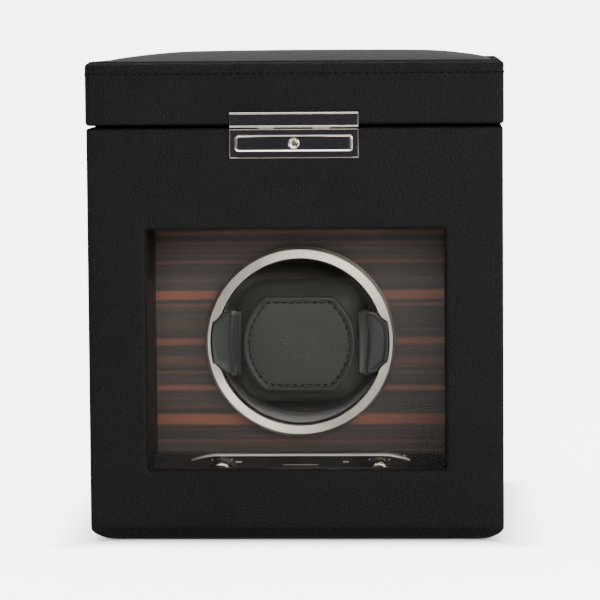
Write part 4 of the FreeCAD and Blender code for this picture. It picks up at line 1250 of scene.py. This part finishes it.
def console():
    front = TRIM_LOW[1]
    half = TRIM_HIGH[0]
    top = TRIM_HIGH[2]
    loops = []
    steps = 72
    for k in range(steps + 1):
        t = k / steps
        x, z = console_line(t, half, top)
        thick = 1.15 * MM * (0.45 + 0.55 * min(1.0, min(t, 1 - t) * 14))
        lean = 0.42 * thick
        profile = [(CONSOLE_HIGH[1] - 0.2 * MM, z), (front + lean + 0.2 * MM, z),
                   (front + lean, z - thick * 0.06),
                   (front + 0.03 * MM, z - thick * 0.78), (front, z - thick * 0.86),
                   (front + 0.3 * MM, z - thick), (CONSOLE_HIGH[1] - 0.2 * MM, z - thick)]
        loops.append([Vector((x, y, height)) for y, height in profile])
    lip = lofted("console_lip", loops, [SATIN])
    sharp_by_angle(lip, 22)
    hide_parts("console_trim")
    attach(lip, "case")

    face = CONSOLE_LOW[1] - 0.12 * MM
    marks = []
    for knob in ("direction_knob", "turns_knob"):
        low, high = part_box(knob)
        centre = ((low[0] + high[0]) / 2, 0, (low[2] + high[2]) / 2)
        for k in range(-3, 4):
            angle = math.radians(38 * k)
            mark = box_mesh("mark", (-0.22 * MM, face, 7.6 * MM), (0.22 * MM, face + 0.2 * MM, 8.5 * MM),
                            MARKS)
            mark.data.transform(Matrix.Translation((centre[0], 0, centre[2])) @ Matrix.Rotation(angle, 4,
                                                                                                "Y"))
            marks.append(mark)
    for x, width in ((-31.5, 3.2), (23.0, 3.0)):
        marks.append(box_mesh("mark", ((x - width / 2) * MM, face, CONSOLE_HIGH[2] - 3.2 * MM),
                              ((x + width / 2) * MM, face + 0.2 * MM, CONSOLE_HIGH[2] - 2.5 * MM), MARKS))
    marks.append(box_mesh("mark", (-9 * MM, face, CONSOLE_HIGH[2] - 4.5 * MM),
                          (9 * MM, face + 0.2 * MM, CONSOLE_HIGH[2] - 4.25 * MM), MARKS))
    print_marks = joined("console_marks", marks)
    for polygon in print_marks.data.polygons:
        polygon.use_smooth = False
    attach(print_marks, "case")


def knob(node):
    low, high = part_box(node)
    centre = ((low[0] + high[0]) / 2, 0, (low[2] + high[2]) / 2)
    radius = (high[0] - low[0]) / 2
    front = low[1] + 0.4 * MM
    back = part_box("control_fascia")[0][1] - 0.3 * MM
    stem = 2.0 * MM
    ribs = 36
    per_rib = 4
    segments = ribs * per_rib

    def turned(profile, knurl_from, knurl_to, material):
        loops = []
        for index, (r, y) in enumerate(profile):
            loop = []
            for k in range(segments):
                angle = 2 * math.pi * k / segments
                knurled = knurl_from <= index <= knurl_to
                cut = 0.16 * MM * (0.5 - 0.5 * math.cos(ribs * angle)) if knurled else 0
                loop.append(around(centre, r - cut, angle, y))
            loops.append(loop)
        return sharp_by_angle(lofted("turned", loops, [material]), 34)

    skirt = turned([(0.1 * MM, back), (radius - 0.3 * MM, back), (radius, back - 0.4 * MM),
                    (radius, back - 3.8 * MM),
                    (radius - 0.4 * MM, back - 4.2 * MM), (0.1 * MM, back - 4.2 * MM)], -1, -2, CHROME)
    grip_radius = radius - 1.9 * MM
    grip = turned([(0.1 * MM, back - 4.0 * MM), (grip_radius, back - 4.0 * MM),
                   (grip_radius, back - 4.6 * MM),
                   (grip_radius, front + 1.2 * MM), (grip_radius - 0.5 * MM,
                                                     front + 0.6 * MM)], 2, 3, CONSOLE_BLACK)
    cap = turned([(0.1 * MM, front + 1.6 * MM), (grip_radius - 0.45 * MM, front + 1.6 * MM),
                  (grip_radius - 0.45 * MM, front + 0.45 * MM), (grip_radius - 0.8 * MM, front + 0.1 * MM),
                  (grip_radius - 1.7 * MM, front + 0.1 * MM), (grip_radius - 2.0 * MM, front + 0.4 * MM),
                  (0.1 * MM, front + 0.5 * MM)], -1, -2, CHROME)
    line = box_mesh("line", (centre[0] - 0.35 * MM, front + 0.05 * MM, centre[2] + 0.8 * MM),
                    (centre[0] + 0.35 * MM, front + 0.9 * MM, centre[2] + grip_radius - 0.6 * MM), MARKS)
    shaft = tube_mesh("stem", (centre[0], back - 0.2 * MM, centre[2]), (0, 1, 0), stem, high[1] - back)
    shaft.data.materials.append(STEEL)
    obj = joined(node + "_dial", [skirt, grip, cap, line, shaft])
    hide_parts(node)
    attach(obj, node)


# ---------------- fittings at the back ----------------

def screw_heads():
    """Countersunk cross-head screws in the hinge leaves."""
    for node, body in (("body_hinge_leaves", "case"), ("lid_hinge_leaves", "lid")):
        low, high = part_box(node)
        leaf_face = 1.0 * MM - LID_LOW[1]
        if body == "case":
            z = (low[2] + LID_AXIS.z - 2.2 * MM) / 2
        else:
            z = (high[2] + LID_AXIS.z + 2.2 * MM) / 2
        heads = []
        for x in (-66, -44, 44, 66):
            profile = [(0, leaf_face + 0.45 * MM), (0.9 * MM, leaf_face + 0.43 * MM),
                       (1.6 * MM, leaf_face + 0.25 * MM),
                       (1.9 * MM, leaf_face), (1.9 * MM, leaf_face - 0.5 * MM), (0, leaf_face - 0.5 * MM)]
            head = lathe_solid("screw", profile, (x * MM, 0, z), STEEL, segments=32)
            cross = [box_mesh("cut", (x * MM - 0.2 * MM, leaf_face + 0.2 * MM, z - 1.1 * MM),
                              (x * MM + 0.2 * MM, leaf_face + 1 * MM, z + 1.1 * MM)),
                     box_mesh("cut", (x * MM - 1.1 * MM, leaf_face + 0.2 * MM, z - 0.2 * MM),
                              (x * MM + 1.1 * MM, leaf_face + 1 * MM, z + 0.2 * MM))]
            carve(head, cross)
            heads.append(head)
        obj = joined(body + "_hinge_screws", heads)
        sharp_by_angle(obj, 35)
        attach(obj, body)


# ---------------- materials of the carried-over nodes ----------------

NODE_MATERIALS = {
    LINING: ("base_pad", "bay_floor_liner", "bay_ceiling_liner", "storage_floor_liner", "storage_divider",
             "lid_lining", "door_lining"),
    SHADE_BLACK_BOARD: ("base_board", "side_boards", "back_board", "shelf_board", "storage_front_board",
            "lid_top_board",
            "lid_rail_front", "lid_rail_back", "lid_rails_side", "door_bottom_rail", "door_top_rail",
            "door_stiles"),
    LIT_CUP_LINING: ("drum_cup",),
    PANEL_VENEER: ("fascia_panel",),
    SHADED_WALL_VENEER: ("bay_walls",),
    CONSOLE_BLACK: ("control_plinth", "control_fascia"),
    BLACK_PLASTIC: ("glass_bead", "rotary_switches", "cuff_core", "drum_bearing", "power_jack"),
    STEEL: ("drive_plate", "gear_motor", "motor_screws", "jack_nut", "body_hinge_leaves",
            "lid_hinge_leaves",
            "lid_hinge_pins", "door_hinge_arms", "door_hinge_pins", "lock_case", "drum_shaft"),
    WHITE_GEAR: ("drum_gear",),
    BRASS: ("drive_pinion", "jack_pin"),
    CIRCUIT: ("control_pcb",),
    GLASS: ("window_glass",),
}


def dress_nodes():
    for material, names in NODE_MATERIALS.items():
        for name in names:
            mesh = NODES[name].data
            mesh.materials.clear()
            mesh.materials.append(material)


# ---------------- stage ----------------

def studio_world(seen):
    """White background for the camera; as light, dim low in front and bright overhead and behind."""
    world = bpy.data.worlds.new("studio")
    bpy.context.scene.world = world
    world.use_nodes = True
    n = Nodes(world.node_tree, "Generated")
    backdrop = n.tree.nodes["Background"]
    backdrop.inputs["Color"].default_value = (1, 1, 1, 1)
    backdrop.inputs["Strength"].default_value = seen

    def smooth_step(source, low, high):
        step = n.node("ShaderNodeMapRange", {"From Min": low, "From Max": high},
                      interpolation_type="SMOOTHSTEP")
        n.link(source, step.inputs["Value"])
        return step.outputs["Result"]

    tilted = n.node("ShaderNodeVectorMath", {1: (0.55, 0.0, 0.84)}, operation="DOT_PRODUCT")
    n.link(n.place, tilted.inputs[0])
    overhead = smooth_step(tilted.outputs["Value"], 0.30, 0.62)
    behind = smooth_step(n.axes()["Y"], -0.55, -0.05)
    ambient = n.node("ShaderNodeBackground", {"Color": (1, 0.975, 0.95, 1)})
    n.link(n.spread(n.math("MAXIMUM", overhead, behind), 0.055, 0.62), ambient.inputs["Strength"])
    camera_ray = n.node("ShaderNodeLightPath").outputs["Is Camera Ray"]
    n.blend(camera_ray, ambient, backdrop, n.tree.nodes["World Output"])


def floor_white():
    """Matt white floor, lifted to the backdrop's white for the camera except close to the case, where the
    fading lift leaves a painted contact shadow.
    """
    s = Shader("floor_white", Specular_IOR_Level=0.1, Roughness=0.8, Emission_Color=(1, 1, 1, 1))
    cloud = s.noise(3, 2)
    tint = s.ramp(cloud, [(0.3, (0.915, 0.915, 0.915)), (0.7, (0.93, 0.93, 0.93))])
    axes = s.axes()
    across = s.math("SUBTRACT", s.math("ABSOLUTE", axes["X"]), HALF_X)
    along = s.math("SUBTRACT", s.math("ABSOLUTE", axes["Y"]), -FACE_Y)
    gap = s.math("MAXIMUM", across, along)
    # painted contact shadow: the camera lift fades from full 23 mm outside the case to none 12 mm inside
    # its footprint
    clear = s.math("DIVIDE", s.math("ADD", gap, 0.012), 0.035, clamp=True)
    path = s.node("ShaderNodeLightPath")
    lift = s.math("MULTIPLY", s.math("MULTIPLY", path.outputs["Is Camera Ray"], clear), FLOOR_LIFT)
    s.link(lift, s.main.inputs["Emission Strength"])
    return s.finish(tint)


def stage():
    size = 8.0
    front = -1.9
    floor = make_object("floor", [(-size, front, 0), (size, front, 0), (size, size, 0), (-size, size, 0)],
                        [(0, 1, 2, 3)], [floor_white()], smooth=False)
    studio_world(BACKDROP)


def soft_light(name, place, aim, size, power, colour=(1, 1, 1)):
    data = bpy.data.lights.new(name, "AREA")
    data.shape = "RECTANGLE"
    data.size = size[0]
    data.size_y = size[1]
    data.energy = power
    data.color = colour
    light = bpy.data.objects.new(name, data)
    bpy.context.scene.collection.objects.link(light)
    light.location = place
    light.rotation_euler = (Vector(aim) - Vector(place)).to_track_quat("-Z", "Y").to_euler()
    return light


def lights():
    data = bpy.data.lights.new("overhead", "SUN")
    data.energy = 2.6
    data.angle = math.radians(50)
    overhead = bpy.data.objects.new("overhead", data)
    bpy.context.scene.collection.objects.link(overhead)
    overhead.rotation_euler = (math.radians(-6), 0, 0)
    soft_light("front", (0.50, -2.2, 0.68), (0, 0, 0.12), (1.7, 0.62), 33, (1.0, 0.965, 0.93))
    soft_light("side", (1.45, -1.2, 0.62), (0, 0, 0.12), (0.5, 0.9), 14, (1.0, 0.94, 0.89))


def camera():
    """Long lens, a little to the right of the middle and just above the lid, looking slightly down."""
    data = bpy.data.cameras.new("camera")
    data.sensor_width = 36
    data.lens = 203.7
    data.clip_end = 20
    obj = bpy.data.objects.new("camera", data)
    bpy.context.scene.collection.objects.link(obj)
    yaw = 0.0462
    pitch = 0.0793
    roll = -0.0075
    ahead = Vector((-math.sin(yaw) * math.cos(pitch), math.cos(yaw) * math.cos(pitch), -math.sin(pitch)))
    right = Vector((math.cos(yaw), math.sin(yaw), 0))
    up = right.cross(ahead)
    right_rolled = right * math.cos(roll) + up * math.sin(roll)
    up_rolled = up * math.cos(roll) - right * math.sin(roll)
    turn = Matrix((right_rolled, up_rolled, -ahead)).transposed()
    place = Vector((0.0794, FACE_Y - 1.665, 0.2528))
    obj.matrix_world = Matrix.Translation(place) @ turn.to_4x4()
    bpy.context.scene.camera = obj


stage()
lights()
camera()
dress_nodes()
door_leather()
case_leather()
lid_leather()
lid_top_pad()
clasp()
drum_ring()
cuff_pad()
cuff_patch()
cuff_ends()
console()
knob("direction_knob")
knob("turns_knob")
screw_heads()
